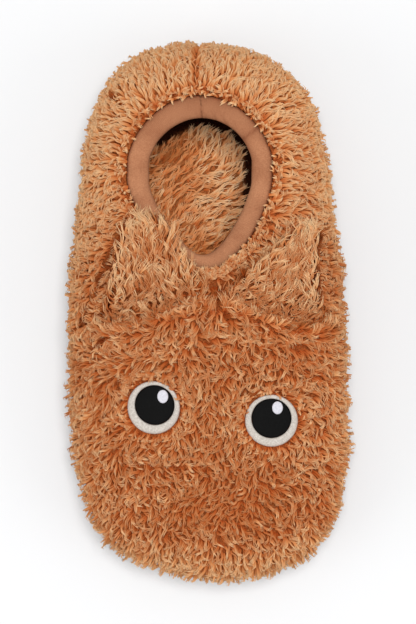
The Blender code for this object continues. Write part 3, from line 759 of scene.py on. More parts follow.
# Pile.
def strand_mesh(name, paths, normal, radius, tone, flank_shade):
    """Closed three-sided strands that taper to a point: painted highlight on top, painted shade
    below.

    paths (n, 4, 3) holds the points of each strand's line, radius (n,) its widest half width.
    An edge's point is line + lift * radius * up + side * radius * out.
    A tone of 0 to 1 runs from deep to fair, and one of 0 to -1 goes into painted shade.
    """
    count = len(paths)
    along = np.gradient(paths, axis=1)
    side = unit(np.cross(along, normal[:, None, :]))
    lift = unit(np.cross(side, along))
    verts = np.zeros((count, 10, 3))
    for k in range(3):
        r = (radius * SWELL[k])[:, None]
        for c, (up, out) in enumerate(EDGES):
            verts[:, 3 * k + c] = paths[:, k] + lift[:, k] * r * up + side[:, k] * r * out
    verts[:, 9] = paths[:, 3]
    after = (1, 2, 0)
    sides = [[k + c, k + after[c], k + 3 + after[c], k + 3 + c] for k in (0, 3) for c in range(3)]
    tips = [[6 + c, 6 + after[c], 9] for c in range(3)]
    corners = np.concatenate([np.ravel(sides), np.ravel(tips), [2, 1, 0]])
    loops = corners[None] + 10 * np.arange(count)[:, None]
    totals = np.tile([4] * 6 + [3] * 4, count)
    place = np.repeat(LEVELS, [3, 3, 3, 1])
    across = np.array([0, 1, 2] * 3 + [1]) - 1.0
    # Tone added at each edge: painted highlight on the top edge, painted shade on the two flanks.
    ridge_and_flank_light = np.array([RIDGE_HIGHLIGHT, flank_shade, flank_shade] * 3 + [RIDGE_HIGHLIGHT])
    lit = SHADE_TONE + (1.0 - SHADE_TONE) * np.clip(tone[:, None] + ridge_and_flank_light[None], 0.0, 1.0)
    tones = np.where(tone[:, None] < 0.0, SHADE_TONE * (1.0 + tone[:, None]), lit)
    u = 0.03 + 0.94 * tones[:, corners] + across[corners][None] * 0.006
    v = np.broadcast_to(0.03 + 0.94 * place[corners], u.shape).copy()
    v[:, -2] += 0.008
    return mesh_object(name, verts.reshape(-1, 3), loops, totals, np.dstack([u, v]),
                       tone=tones, along=np.broadcast_to(place, (count, 10)))


def grow_locks(locks, spread, radius, swing):
    """Lines of the strands of every lock, with their normal, half width and tone.

    A lock leaves its root along the normal and lays itself over along its way, which turns by
    its curl and swings in one slow wave. Its strands start round the root and draw together
    toward the tip; one in ten strays.
    """
    root, normal, way, length, height, curl, tone = [locks[key] for key in LOCK_KEYS]
    n = len(root)
    pick = np.repeat(np.arange(n), STRANDS)
    total = len(pick)
    angle = rng.uniform(0.0, 2.0 * math.pi, total)
    away = np.sqrt(rng.uniform(0.0, 1.0, total)) * spread
    side = np.cross(normal, way)
    offset = turned(way[pick], side[pick], angle) * away[:, None]
    stray = rng.uniform(0.0, 1.0, total) < STRAY_SHARE
    own_length = length[pick] * rng.uniform(0.80, 1.10, total)
    own_height = height[pick] * rng.uniform(0.82, 1.06, total)
    own_turn = rng.normal(0.0, 0.08, total) + np.where(stray, rng.normal(0.0, 0.5, total), 0)
    own_curl = curl[pick] + rng.normal(0.0, 0.12, total)
    s = np.linspace(0.0, 1.0, STEPS + 1)
    middle = (s[1:] + s[:-1]) / 2.0
    wave = rng.uniform(0.0, 2.0 * math.pi, n)[pick]
    heading = own_turn[:, None] + own_curl[:, None] * (middle - 0.35)[None] * 1.7
    heading += swing * np.sin(wave[:, None] + 7.0 * middle[None])
    pace = own_length[:, None] * (0.40 + 1.2 * middle)[None] / STEPS
    start = np.zeros((total, 1))
    a = np.concatenate([start, np.cumsum(np.cos(heading) * pace, 1)], 1)
    b = np.concatenate([start, np.cumsum(np.sin(heading) * pace, 1)], 1)
    rise = np.sin(np.minimum(1.0, 1.12 * s) * math.pi / 2.0) - 0.16 * s ** 4
    paths = np.zeros((total, len(LEVELS), 3))
    for k, i in enumerate(np.searchsorted(s, LEVELS - 0.02)):
        paths[:, k] = (root[pick] + offset * (1.0 - 0.74 * s[i])
                       + way[pick] * a[:, i, None]
                       + side[pick] * b[:, i, None]
                       + normal[pick] * (own_height * rise[i])[:, None])
    own_tone = np.clip(tone[pick] + rng.normal(0.0, 0.06, total), 0.0, 1.0)
    own_tone = np.where(tone[pick] < 0.0, tone[pick], own_tone)
    return paths, normal[pick], radius * rng.uniform(0.75, 1.15, total), own_tone


def pile_object(name, locks, material, slot, node, spread=0.0009, radius=0.00038, swing=0.5,
                own_share=0.7, flank_shade=-0.34):
    """One piece of pile. Its normals mix each strand's own with that of the cloth under it."""
    paths, normal, own_radius, tone = grow_locks(locks, spread, radius, swing)
    floor = PILE_FLOOR + toe_lift(paths[..., 1]) * 0.6
    paths[..., 2] = np.maximum(paths[..., 2], floor)
    obj = strand_mesh(name, paths, normal, own_radius, tone, flank_shade)
    own = np.empty(3 * len(obj.data.vertices), dtype=np.float32)
    obj.data.vertex_normals.foreach_get("vector", own)
    shared = unit(normal + np.array([0.0, 0.0, 0.25]))
    shared *= np.clip(normal[:, 2:] * 1.5 + 0.6, 0.0, 1.0)
    soft = unit(own.reshape(-1, 3) * own_share + np.repeat(shared, 10, axis=0))
    obj.data.normals_split_custom_set_from_vertices(soft)
    dress(obj, material, slot, node)


def even_points(grid, count):
    """Evenly spread points of a grid surface with their normal, up direction and share up.

    Two irrational steps give each point its place in the running sums of the cells' areas.
    """
    up = np.diff(grid, axis=1)
    area = np.linalg.norm(np.cross(np.diff(grid, axis=0)[:, :-1], up[:-1]), axis=2)
    column = np.cumsum(area.sum(axis=1)) / area.sum()
    u, v = [(0.5 + np.arange(count) * step) % 1.0 for step in EVEN_STEPS]
    j = np.clip(np.searchsorted(column, u), 0, len(column) - 1)
    before = np.concatenate([[0.0], column])[j]
    inside = np.cumsum(area, axis=1)
    inside = inside / inside[:, -1:]
    flat = (inside + np.arange(len(inside))[:, None]).ravel()
    i = np.clip(np.searchsorted(flat, j + v) - j * area.shape[1], 0, area.shape[1] - 1)
    low = np.where(i > 0, inside[j, np.maximum(i - 1, 0)], 0.0)
    fj = np.clip((u - before) / np.maximum(column[j] - before, 1e-12), 0.0, 1.0)[:, None]
    fi = np.clip((v - low) / np.maximum(inside[j, i] - low, 1e-12), 0.0, 1.0)[:, None]
    near = grid[j, i] * (1.0 - fj) + grid[j + 1, i] * fj
    far = grid[j, i + 1] * (1.0 - fj) + grid[j + 1, i + 1] * fj
    up = unit(up[j, i])
    normal = unit(np.cross(unit(grid[j + 1, i] - grid[j, i]), up))
    return near * (1.0 - fi) + far * fi, normal, up, (i + fi[:, 0]) / area.shape[1]


def swirl(p, scale, seed):
    """Smooth angle field: four sine waves of different ways and lengths."""
    s = np.random.default_rng(seed)
    out = np.zeros(len(p))
    for k in range(4):
        way = unit(s.normal(size=3))
        out += np.sin(p @ way * scale * s.uniform(0.6, 1.6) + s.uniform(0.0, 6.28))
    return out / 2.0


def signed(low, high, n):
    """Random sizes between low and high, with a random sign."""
    return rng.choice([-1.0, 1.0], n) * rng.uniform(low, high, n)


def join(*parts):
    """Several sets of locks as one."""
    return {key: np.concatenate([part[key] for part in parts]) for key in LOCK_KEYS}


# Upper.
def ear_frame(ear):
    """Base ends in plan, and the plan directions along the base and across it to the heel."""
    a = np.array(ear[1:3])
    b = np.array(ear[3:5])
    along = unit(b - a)
    return a, b, along, np.array([-along[1], along[0]]) * math.copysign(1.0, along[0])


def beside_ear(point, ear):
    """Share of the shade that an ear's outer edge throws on the pile next to it, in plan.

    A bell round a line past the edge, farther out on the side away from the eye point.
    """
    a = np.array(ear[1:3])
    edge = np.array(ear[5:7]) - a
    rel = point[:, :2] - a
    share = rel @ edge / (edge @ edge)
    outer = math.copysign(1.0, a[0])
    away = (rel @ np.array([edge[1], -edge[0]])) / np.linalg.norm(edge) * outer
    lean = 0.0042 - outer * (EYE_POINT[0] - a[0]) * 0.025
    return bell(away, lean, 0.0020 - outer * 0.0005) * (share > -0.1) * (share < 0.97)


def in_furrow(point):
    """Share of the shade in the furrows, from the distance to each in plan."""
    share = np.zeros(len(point))
    for x0, y0, x1, y1, width in FURROWS:
        way = np.array([x1 - x0, y1 - y0])
        rel = point[:, :2] - np.array([x0, y0])
        run = np.clip(rel @ way / (way @ way), 0.0, 1.0)
        away = np.linalg.norm(rel - run[:, None] * way, axis=1)
        share = np.maximum(share, bell(away, 0.0, width))
    return share * (point[:, 2] > BULGE_HEIGHT)


def clear_of_trim(point):
    """True where pile may root: not under an eye and not under the root of an ear."""
    keep = np.ones(len(point), dtype=bool)
    above = point[:, 2] > BULGE_HEIGHT
    for eye in EYES:
        away = np.hypot(point[:, 0] - eye[1], point[:, 1] - eye[2])
        keep &= ~((away < eye[3] + 0.0002) & above)
    for ear in EARS:
        a, b, along, across = ear_frame(ear)
        rel = point[:, :2] - a
        s = rel @ along
        d = rel @ across
        keep &= ~((s > 0.0) & (s < np.linalg.norm(b - a)) & (d > -0.0030) & (d < 0.0046) & above)
    return keep


def build_backing():
    """Closed shell under the pile: outer face, collar edge, lining and feather edge.

    The columns of two shells, one at the backing's depth and one a wall deeper, make one loop.
    """
    columns = 192
    outer = shell_grid(BACKING_DEPTH, columns, 56)
    inner = shell_grid(PILE + WALL, columns, 40)[:, ::-1]
    edge = (outer[:, -1:] + inner[:, :1]) / 2.0
    grid = np.concatenate([outer, edge, inner], axis=1)
    rows = grid.shape[1]
    verts = grid.reshape(-1, 3)
    quads = outward(verts, grid_faces(columns, rows, True, True))
    inside = np.zeros((columns, rows))
    inside[:, outer.shape[1] + 1:] = 1.0
    obj = mesh_object("upper_backing", verts, quads, inside=inside)
    n = Nodes("backing_and_lining")
    outside, mottle = short_pile(n, *BACKING_COLOURS)
    base = n.mix(n.attribute("inside"), outside, n.mix(mottle, *LINING_COLOURS))
    dress(obj, cloth(n, base, mottle, 0.0010), "plush", "upper")


def round_the_eyes(point, normal, way):
    """Turns pile away from the eyes; gives the ways and how near each root is to a rim."""
    above = point[:, 2] > BULGE_HEIGHT
    touch = np.zeros(len(point))
    for eye in EYES:
        rel = point[:, :2] - np.array(eye[1:3])
        away = np.linalg.norm(rel, axis=1)
        radial = laid(level(rel / away[:, None]), normal)
        near = smooth_share(away, eye[3] + 0.0065, eye[3] + 0.0005) * above
        facing = np.sum(way * radial, axis=1) < 0.1
        push = (near * np.where(facing, 0.9, 0.25))[:, None]
        way = unit(way * (1.0 - push) + radial * push)
        rim = smooth_share(away, eye[3] + 0.0028, eye[3] + 0.0004) * above
        touch = np.maximum(touch, rim)
    return way, touch


def round_the_ears(point, normal, way):
    """Lifts pile toward the ear behind it; gives the ways, that lift and the shade beside."""
    n = len(point)
    above = point[:, 2] > BULGE_HEIGHT
    climb = np.zeros(n)
    shade = np.zeros(n)
    for ear in EARS:
        a, b, along, across = ear_frame(ear)
        rel = point[:, :2] - a
        reach = rel @ across
        run = rel @ along
        before = (run > -0.002) & (run < np.linalg.norm(b - a) + 0.002) & above
        front = smooth_share(reach, -0.0105, -0.0045) * (reach < 0.0) * before
        toward = laid(level(np.tile(across, (n, 1))), normal)
        lift = (front * rng.uniform(0.3, 1.0, n))[:, None]
        way = unit(way * (1.0 - lift) + toward * lift)
        climb = np.maximum(climb, front)
        shade = np.maximum(shade, beside_ear(point, ear) * (point[:, 2] > SHADE_HEIGHT))
    return way, climb, shade


def upper_locks(count):
    """Roots and combing of the locks on the upper.

    They run away from the opening, are turned by slow swirls on the vamp, lie tighter and
    deeper low in its middle, stand up along the band and the eyes, and part at heel and toe.
    """
    grid = shell_grid(BACKING_DEPTH, 480, 150)
    point, normal, up, share = even_points(np.concatenate([grid, grid[:1]]), count)
    away = point * np.array([1.0, 0.45, 1.0]) - np.array([0.0, 0.0, 0.02])
    normal = np.where(np.sum(normal * away, axis=1)[:, None] < 0.0, -normal, normal)
    keep = clear_of_trim(point)
    point, normal, up, share = point[keep], normal[keep], up[keep], share[keep]
    n = len(point)
    x, y, z = point.T
    vamp = smooth_share(-y, -0.015, 0.030) * smooth_share(z, 0.030, 0.046)
    back = smooth_share(y, 0.055, 0.085)
    angle = swirl(point, 150.0, 3) * (0.30 + 0.70 * vamp)
    angle += swirl(point, 420.0, 4) * (0.40 + 0.35 * vamp - 0.15 * back)
    angle += rng.normal(0.0, 1.0, n) * (0.20 + 0.12 * vamp - 0.06 * back)
    brink = smooth_share(share, 0.955, 0.985)
    angle += brink * rng.choice([0.0, 1.0], n, p=[0.35, 0.65]) * math.pi * 0.9
    way = turned(-up, unit(np.cross(normal, -up)), angle)
    length = rng.uniform(*UPPER_LENGTH, n)
    height = rng.uniform(*UPPER_HEIGHT, n)
    way, touch = round_the_eyes(point, normal, way)
    upright = np.maximum(0.45 * brink, 0.62 * touch)
    way, climb, shade = round_the_ears(point, normal, way)
    parting = 0.55 * bell(x, HEEL_PARTING, 0.0040) * smooth_share(y, 0.096, 0.104)
    parting += 0.40 * bell(x, TOE_PARTING, 0.0035) * smooth_share(-y, 0.110, 0.116)
    split = np.where(x > np.where(y > 0.0, HEEL_PARTING, TOE_PARTING), 1.0, -1.0)
    push = 0.7 * parting[:, None]
    way = laid(unit(way * (1.0 - push) + split[:, None] * push * np.array([1.0, 0.0, 0.0])), normal)

    heel = smooth_share(y, 0.0, 0.060)
    foot = smooth_share(share, 0.0, 0.05)
    rim = bell(z, BULGE_HEIGHT + 0.004, 0.013)
    low = spot(point, LOW_SPOT) * (z > 0.030)
    corner = spot(point, TOE_CORNER) * (z < 0.045)
    tuft = spot(point, SIDE_TUFT) * (z < 0.045)
    stand = rim * (rng.uniform(0.0, 1.0, n) < 0.45)
    clump = rim * np.clip(swirl(point, 420.0, 12), -0.4, 1.2) * (1.0 - 0.6 * (y > 0.095))
    length *= (0.55 + 0.45 * foot) * (1.0 - 0.18 * low) * (1.0 - upright) * (1.0 - 0.25 * stand)
    length *= 1.0 + 0.35 * climb
    height *= (0.55 + 0.45 * foot) * (1.0 - 0.15 * low) * (1.0 + 0.18 * rim - 0.10 * upright)
    height *= 1.0 + 0.30 * stand + 0.22 * clump + 0.55 * climb - 0.50 * shade + 0.55 * corner
    height *= (1.0 - 0.12 * heel - 0.10 * back) * (1.0 + 0.6 * tuft)

    # Tone: paler at the heel, on the rims and steep sides and at the toe end as painted light;
    # darker low on the vamp, in the partings, on the inner side and beside the ears and furrows as
    # painted shade; swirls and chance vary it.
    toe = smooth_share(-y, 0.098, 0.120)
    tone = 0.36 + 0.30 * heel + 0.18 * rim + 0.06 * swirl(point, 55.0, 5) - 0.34 * low
    tone += 0.13 * np.clip((0.75 - normal[:, 2]) / 0.55, 0.0, 1.0) + 0.46 * toe - 0.06 * vamp
    tone += 0.30 * spot(point, PALE_SPOT) - 0.25 * parting
    tone -= 0.14 * smooth_share(x, 0.030, 0.045) * smooth_share(np.abs(y - 0.045), 0.060, 0.035)
    tone += rng.normal(0.0, 0.17, n) * (1.0 - 0.5 * heel + 0.35 * vamp) - 0.40 * shade
    tone = np.clip(tone, 0.0, 1.0)
    tone = np.where(np.maximum(shade, in_furrow(point)) > 0.55, -rng.uniform(0.1, 0.8, n), tone)
    return dict(root=point, normal=normal, way=way, length=length, height=height, tone=tone,
                curl=signed(0.2, 1.4, n) * (1.0 - 0.45 * back))


def shell_roots(plan):
    """Roots on the backing at plan points clear of the trim, their normals and which those are."""
    root = np.column_stack([plan, top_height(plan[:, 0], plan[:, 1], BACKING_DEPTH)])
    keep = clear_of_trim(root)
    root = root[keep]
    return root, top_normal(root[:, 0], root[:, 1], PILE), keep


def edging_locks():
    """Upright locks that close the pile along the band and round the eyes."""
    count = BAND_LOCKS
    shares = (np.arange(count) + rng.uniform(0.0, 1.0, count)) / count
    ring = rings(shares)[1][:, :2]
    spots = [inward_ring(ring, -rng.uniform(0.0004, 0.0040, (count, 1)))]
    ways = [unit(inward_ring(ring, 0.002) - ring)]
    for eye in EYES:
        angle = 2.0 * math.pi * (np.arange(EYE_LOCKS) + rng.uniform(0.0, 1.0, EYE_LOCKS)) / EYE_LOCKS
        way = np.stack([np.cos(angle), np.sin(angle)], 1)
        away = eye[3] + rng.uniform(0.0009, 0.0034, (EYE_LOCKS, 1))
        spots.append(np.array(eye[1:3]) + way * away)
        over = (way[:, 1] > 0.3) & (rng.uniform(0.0, 1.0, EYE_LOCKS) < 0.3)
        ways.append(np.where(over[:, None], -way, way))
    bead = np.array(BEAD)
    middle = bead.mean(axis=0)
    lean = np.concatenate(ways + [unit(bead - middle + 0.0001)])
    root, normal, keep = shell_roots(np.concatenate(spots + [bead]))
    n = len(root)
    flat = laid(level(lean[keep]), normal)
    way = turned(flat, np.cross(normal, flat), signed(0.3, 1.6, n))
    on_bead = np.linalg.norm(root[:, :2] - middle, axis=1) < 0.001
    return dict(root=root, normal=normal, way=way,
                length=rng.uniform(*EDGING_LENGTH, n) * (1.0 - 0.5 * on_bead),
                height=rng.uniform(*EDGING_HEIGHT, n) * (1.0 + 0.5 * on_bead),
                curl=signed(0.2, 1.4, n),
                tone=np.clip(rng.normal(0.45, 0.17, n) + on_bead, 0.0, 1.0))


def crease_locks(ear):
    """Long locks in front of an ear that climb it and hide the crease at its root."""
    a, b, _, across = ear_frame(ear)
    count = CREASE_LOCKS
    share = (np.arange(count) + rng.uniform(0.0, 1.0, count)) / count
    back = rng.uniform(0.0032, 0.0085, (count, 1))
    plan = a + (b - a) * (0.02 + 0.96 * share)[:, None] - across * back
    root, normal, _ = shell_roots(plan)
    n = len(root)
    way = laid(level(np.tile(across, (n, 1))), normal)
    way = turned(way, np.cross(normal, way), rng.normal(0.0, 0.35, n))
    return dict(root=root, normal=normal, way=way, length=rng.uniform(*CREASE_LENGTH, n),
                height=rng.uniform(*CREASE_HEIGHT, n), curl=signed(0.1, 0.8, n),
                tone=np.clip(rng.normal(0.42, 0.24, n), 0.0, 1.0))


def build_pile():
    """The upper's pile in four pieces, cut across its length."""
    locks = join(upper_locks(UPPER_LOCKS), edging_locks(), *[crease_locks(ear) for ear in EARS])
    part = np.searchsorted(PILE_CUTS, locks["root"][:, 1])
    for k, (name, radius, swing, own_share, flank_shade) in enumerate(PILE_PIECES):
        piece = {key: locks[key][part == k] for key in LOCK_KEYS}
        pile_object(name, piece, PILE_MATERIAL, "plush", "upper", radius=radius, swing=swing,
                    own_share=own_share, flank_shade=flank_shade)


# Ears.
def ear_climb(share):
    """Place up an ear of a share of its rows: 1 - (1 - share)^1.25, closer toward the tip."""
    return 1.0 - (1.0 - share) ** 1.25


def ear_half(ear, climb, least=0.0):
    """Half width of an ear at a place up it: base * (1 - taper * place) * EAR_SHAPE."""
    base = math.hypot(ear[3] - ear[1], ear[4] - ear[2]) / 2.0
    return base * (1.0 - ear[9] * climb) * np.maximum(table_curve(EAR_SHAPE, 1, climb, 2.0), least)


def ear_grid(ear, around, rows):
    """Flat oval sections from the root on the vamp to the tip, row after row.

    Their middles follow start * (1 - v)^2 + knee * 2v(1 - v) + tip * v^2, and a section is its
    middle + wide * half width * cos + thin * half thickness * sin. Low rows blend to the root.
    EAR_INSET takes the pile's depth off their half width, thickness and reach.
    """
    a, b, along, across = ear_frame(ear)
    tip = np.array(ear[5:8])
    start = np.array([*(a + b) / 2.0, 0.0])
    start[2] = top_height(start[0], start[1], PILE) + EYE_GAP
    knee = start + np.array([(tip[0] - start[0]) * 0.12, (tip[1] - start[1]) * 0.20, ear[8] * 1.7])
    wide, flat = level(np.stack([along, across]))
    angle = 2.0 * math.pi * np.arange(around)[:, None] / around
    c = np.cos(angle)
    s = np.sign(np.sin(angle)) * np.abs(np.sin(angle)) ** 0.8
    root = start + wide * np.linalg.norm(b - a) / 2.0 * 0.96 * c + flat * s * EAR_THICK / 2.0
    root[:, 2] = top_height(root[:, 0], root[:, 1], PILE) + EYE_GAP
    climbs = ear_climb(np.linspace(0.0, 1.0, rows))
    grid = np.zeros((rows, around, 3))
    for m, v in enumerate(climbs):
        centre = start * (1 - v) ** 2 + knee * 2 * v * (1 - v) + tip * v * v
        slope = (knee - start) * 2 * (1 - v) + (tip - knee) * 2 * v
        slope = unit(slope - wide * (slope @ wide))
        thin = unit(np.cross(wide, slope))
        thin = thin if thin @ (flat - np.array([0.0, 0.0, 1.0])) > 0.0 else -thin
        width = ear_half(ear, v) - EAR_INSET * min(1.0, 8.0 * (1.0 - v))
        thick = (EAR_THICK + (EAR_TIP_THICK - EAR_THICK) * v) / 2.0 - 0.5 * EAR_INSET
        thick *= math.sqrt(max(0.0, 1.0 - v ** 6))
        grid[m] = centre + wide * width * c + thin * thick * s
    return grid + (root - grid[0]) * ((1.0 - climbs) ** 2.4)[:, None, None]


def build_ear(ear):
    """Stuffed flap with its own pile; the locks fan out from the root and fringe the edge."""
    name = ear[0]
    around = 56
    rows = 34
    grid = ear_grid(ear, around, rows)
    verts = np.concatenate([grid.reshape(-1, 3), grid[:1].mean(axis=1)])
    foot = np.full(around, rows * around)
    ring = np.arange(around)
    fan = np.stack([np.roll(ring, -1), ring, foot, foot], axis=1)
    faces = outward(verts, np.concatenate([grid_faces(rows, around, False, True), fan]))
    sides, fan = np.split(faces, [len(faces) - around])
    fan = fan[:, 1:] if fan[0, 0] == fan[0, 1] else fan[:, :3]
    body = mesh_object("ear_" + name + "_flap", verts, np.concatenate([sides.ravel(), fan.ravel()]),
                       np.repeat([4, 3], [len(sides), around]))
    dress(body, FLAP_MATERIAL, "plush", "ear_" + name)

    surface = np.concatenate([grid, grid[:, :1]], axis=1).transpose(1, 0, 2)
    point, normal, up, share = even_points(surface, EAR_LOCKS)
    n = len(point)
    spine = grid.mean(axis=1)[np.clip((share * (rows - 1)).astype(int), 0, rows - 1)]
    normal = np.where(np.sum(normal * (point - spine), axis=1)[:, None] < 0.0, -normal, normal)
    wide = level(ear_frame(ear)[2][None])[0]
    half = ear_half(ear, ear_climb(share), 0.2)
    sideways = np.clip((point - spine) @ wide / half, -1.0, 1.0)
    edge = smooth_share(np.abs(sideways), 0.55, 0.95)
    edge = np.maximum(edge, smooth_share(share, 0.80, 1.0))
    outer = smooth_share(-sideways, 0.30, 0.80)
    fan_out = sideways * (0.10 + 0.50 * edge) * (1.0 - 1.1 * outer)
    way = laid(up + wide[None] * fan_out[:, None], normal)
    turn = rng.normal(0.0, 0.12, n) + 0.26 * swirl(point, 120.0, 9)
    hang = smooth_share(share, 0.12, 0.02) * (rng.uniform(0.0, 1.0, n) < 0.30)
    way = turned(way, np.cross(normal, way), turn + hang * math.pi * 0.9)
    root = smooth_share(share, 0.0, 0.10)
    # Tone: paler at the edges and toward the tip as painted light on the fringe, and darker at the
    # root as painted shade, over a chance tone for each lock.
    locks = dict(
        root=point, normal=normal, way=way,
        length=rng.uniform(*EAR_LENGTH, n) * (0.6 + 0.4 * root),
        height=rng.uniform(*EAR_HEIGHT, n) * (0.75 + 0.25 * root),
        curl=signed(0.1, 0.9, n),
        tone=np.clip(rng.normal(0.31, 0.36, n)
                     + 0.66 * edge * smooth_share(share, 0.10, 0.40)
                     + 0.22 * share - 0.36 * smooth_share(share, 0.34, 0.04), 0.0, 1.0))
    # Locks under the outer edge that face down take a shade tone: painted shade under the edge.
    below = (sideways < -0.55) & (normal[:, 2] < 0.35) & (share < 0.97)
    locks["tone"] = np.where(below, -(0.1 + 0.6 * locks["tone"]), locks["tone"])
    pile_object("ear_" + name + "_pile", locks, PILE_MATERIAL, "plush", "ear_" + name,
                spread=0.0008, swing=0.3, own_share=0.85, flank_shade=-0.48)


# Collar binding.
def band_material():
    """Rib knit with stitching along its outer edge, darker at the heel and in its seams, and darker
    in its folds as painted shade.
    """
    n = Nodes("rib_band")
    around = n.attribute("around") * (2.0 * math.pi)
    rib = n.wave(around * (1.0 / RIB_PITCH))
    stitch = n.math("SINE", around * (1.0 / STITCH_PITCH))
    knit = n.noise(1500.0)
    edge = n.range(n.attribute("across"), 0.02, 0.13, 1.0, 0.0)
    base = n.mix(n.range(n.noise(70.0) * 0.6 + knit * 0.4, 0.36, 0.64), *BAND_COLOURS)
    base = n.mix(rib * 0.10, base, srgb(136, 84, 56))
    base = n.mix(n.range(n.axis(1), 0.074, 0.098, 0.0, 0.65), base, srgb(142, 90, 62))
    base = n.mix(edge * (0.55 + stitch * 0.25), base, srgb(128, 72, 46))
    # Darker along the seams, as dark joints, and along the folds near the heel as painted shade.
    base = n.mix(n.attribute("seam") * 0.55, base, srgb(134, 80, 54))
    relief = rib * 0.35 + knit * 0.65 + edge * stitch * 0.8
    return n.surface(Base_Color=base, Roughness=0.85, Specular_IOR_Level=0.1,
                     Normal=n.bump(relief, 0.00022))


def build_binding():
    """Knit band round the opening: a crowned section, a lapped join and a tick at the heel.

    BAND_SECTION is carried round both loops: plan collar + (opening - collar) * share, height
    over the shell, less a bell for each join and small sines for pucker and folds.
    """
    columns = 320
    _, collar, opening = rings(np.arange(columns) / columns)
    a = inward_ring(collar[:, :2], GAP)
    b = opening[:, :2]
    across, height = np.array(BAND_SECTION).T
    verts = np.zeros((columns, len(across), 3))
    verts[..., :2] = a[:, None] + (b - a)[:, None] * across[None, :, None]
    verts[..., 2] = top_height(collar[:, 0], collar[:, 1], PILE)[:, None] + height[None]
    x = verts[..., 0]
    y = verts[..., 1]
    arc = np.concatenate([[0.0], np.cumsum(np.linalg.norm(np.diff(a, axis=0), axis=1))])[:, None]
    tick = bell(x, b[0, 0], 0.0006) * (y > 0.080) * smooth_share(across, 0.30, 0.60)[None]
    rel = verts[..., :2] - np.array(LAP_PLACE)
    lap = bell(rel @ unit(np.array(LAP_WAY)), 0.0, 0.0007) * (np.linalg.norm(rel, axis=2) < 0.011)
    pucker = 0.00010 * np.sin(arc / 0.0021) * np.exp(-across[None] / 0.2)
    pucker = pucker + 0.00012 * np.sin(arc / 0.0034 + 1.0) * across[None]
    wrinkle = bell(x, 0.008, 0.011) * (y > 0.060)
    fold = smooth_share(np.sin(x / 0.00062 + y / 0.0011), 0.2, 1.0) * wrinkle
    fold = fold * smooth_share(across, 0.45, 0.85)[None]
    pucker = pucker + 0.00035 * wrinkle * np.sin(x / 0.00075) * across[None]
    verts[..., 2] += (height > 0.0) * (pucker - 0.0007 * tick - 0.0007 * lap - 0.0003 * fold)
    flat = verts.reshape(-1, 3)
    quads = outward(flat, grid_faces(columns, len(across), True, True))
    # The last attribute holds the seams and, at half weight, the folds for their painted shade.
    obj = mesh_object("collar_band", flat, quads, across=np.broadcast_to(across, x.shape),
                      around=np.broadcast_to(arc, x.shape),
                      seam=(tick + 1.5 * lap + 0.5 * fold).clip(0.0, 1.5))
    dress(obj, band_material(), "rib_knit", "collar_binding")


# Eyes.
def stitched_pad(name, hole, edge, low, thick, dome, segments=96, steps=9, stretch=1.0):
    """A pad of thread between two plan circles (x, y, radius), with rolled edges.

    hole is None for a full disc. Height over the shell is low + thick * edge roll + dome.
    """
    full = hole is None
    x, y, radius = edge
    hole_x, hole_y, hole_radius = (x, y, radius * 0.12) if full else hole
    angle = 2.0 * math.pi * np.arange(segments) / segments
    way = np.stack([np.cos(angle), np.sin(angle) * stretch], axis=1)
    rim = np.array([x, y]) + way * radius
    start = np.array([hole_x, hole_y]) + way * hole_radius
    share = np.linspace(0.0, 1.0, steps) * math.pi
    share = np.sin(share / 2.0) if full else (1.0 - np.cos(share)) / 2.0
    roll = np.sqrt(1.0 - np.clip((share - 0.86) / 0.14, 0.0, 1.0) ** 2)
    bulge = 1.0 - share ** 2
    if not full:
        roll = roll * np.sqrt(1.0 - np.clip((0.14 - share) / 0.14, 0.0, 1.0) ** 2)
        bulge = 4.0 * share * (1.0 - share)
    height = np.concatenate([low + thick * (0.35 + 0.65 * roll) + dome * bulge, [low, low]])
    share = np.concatenate([share, [1.0, 0.0]])[:, None, None]
    plan = start[None] * (1.0 - share) + rim[None] * share
    rise = height[:, None] / top_normal(plan[..., 0], plan[..., 1], PILE)[..., 2]
    top = top_height(plan[..., 0], plan[..., 1], PILE) + rise
    verts = np.dstack([plan, top]).reshape(-1, 3)
    rows = len(share)
    quads = grid_faces(rows, segments, not full, True)
    corners = outward(verts, quads)
    totals = np.full(len(quads), 4)
    if full:
        caps = np.array([np.arange(segments)[::-1], np.arange(segments) + (rows - 1) * segments])
        caps = caps if np.array_equal(corners, quads) else caps[:, ::-1]
        corners = np.concatenate([corners.ravel(), caps.ravel()])
        totals = np.concatenate([totals, [segments, segments]])
    return mesh_object(name, verts, corners, totals, turn_x=np.tile(np.cos(angle), rows),
                       turn_y=np.tile(np.sin(angle), rows))


def thread_material(name, colour, dark, radial, roughness):
    """Satin stitch: fine threads side by side, radial on a ring and straight on a disc."""
    n = Nodes(name)
    if radial:
        turn = n.math("ARCTAN2", n.attribute("turn_y"), n.attribute("turn_x"))
        thread = n.wave(turn * RING_THREADS)
    else:
        line = n.axis(0) * 0.25 + n.axis(1)
        thread = n.wave(line * (2.0 * math.pi / THREAD_PITCH))
    relief = thread * 0.45 + n.noise(1100.0) * 0.55
    base = n.mix(n.range(relief, 0.30, 0.70), dark, colour)
    return n.surface(Base_Color=base, Roughness=roughness, Normal=n.bump(relief, 0.00016),
                     Specular_IOR_Level=0.12)


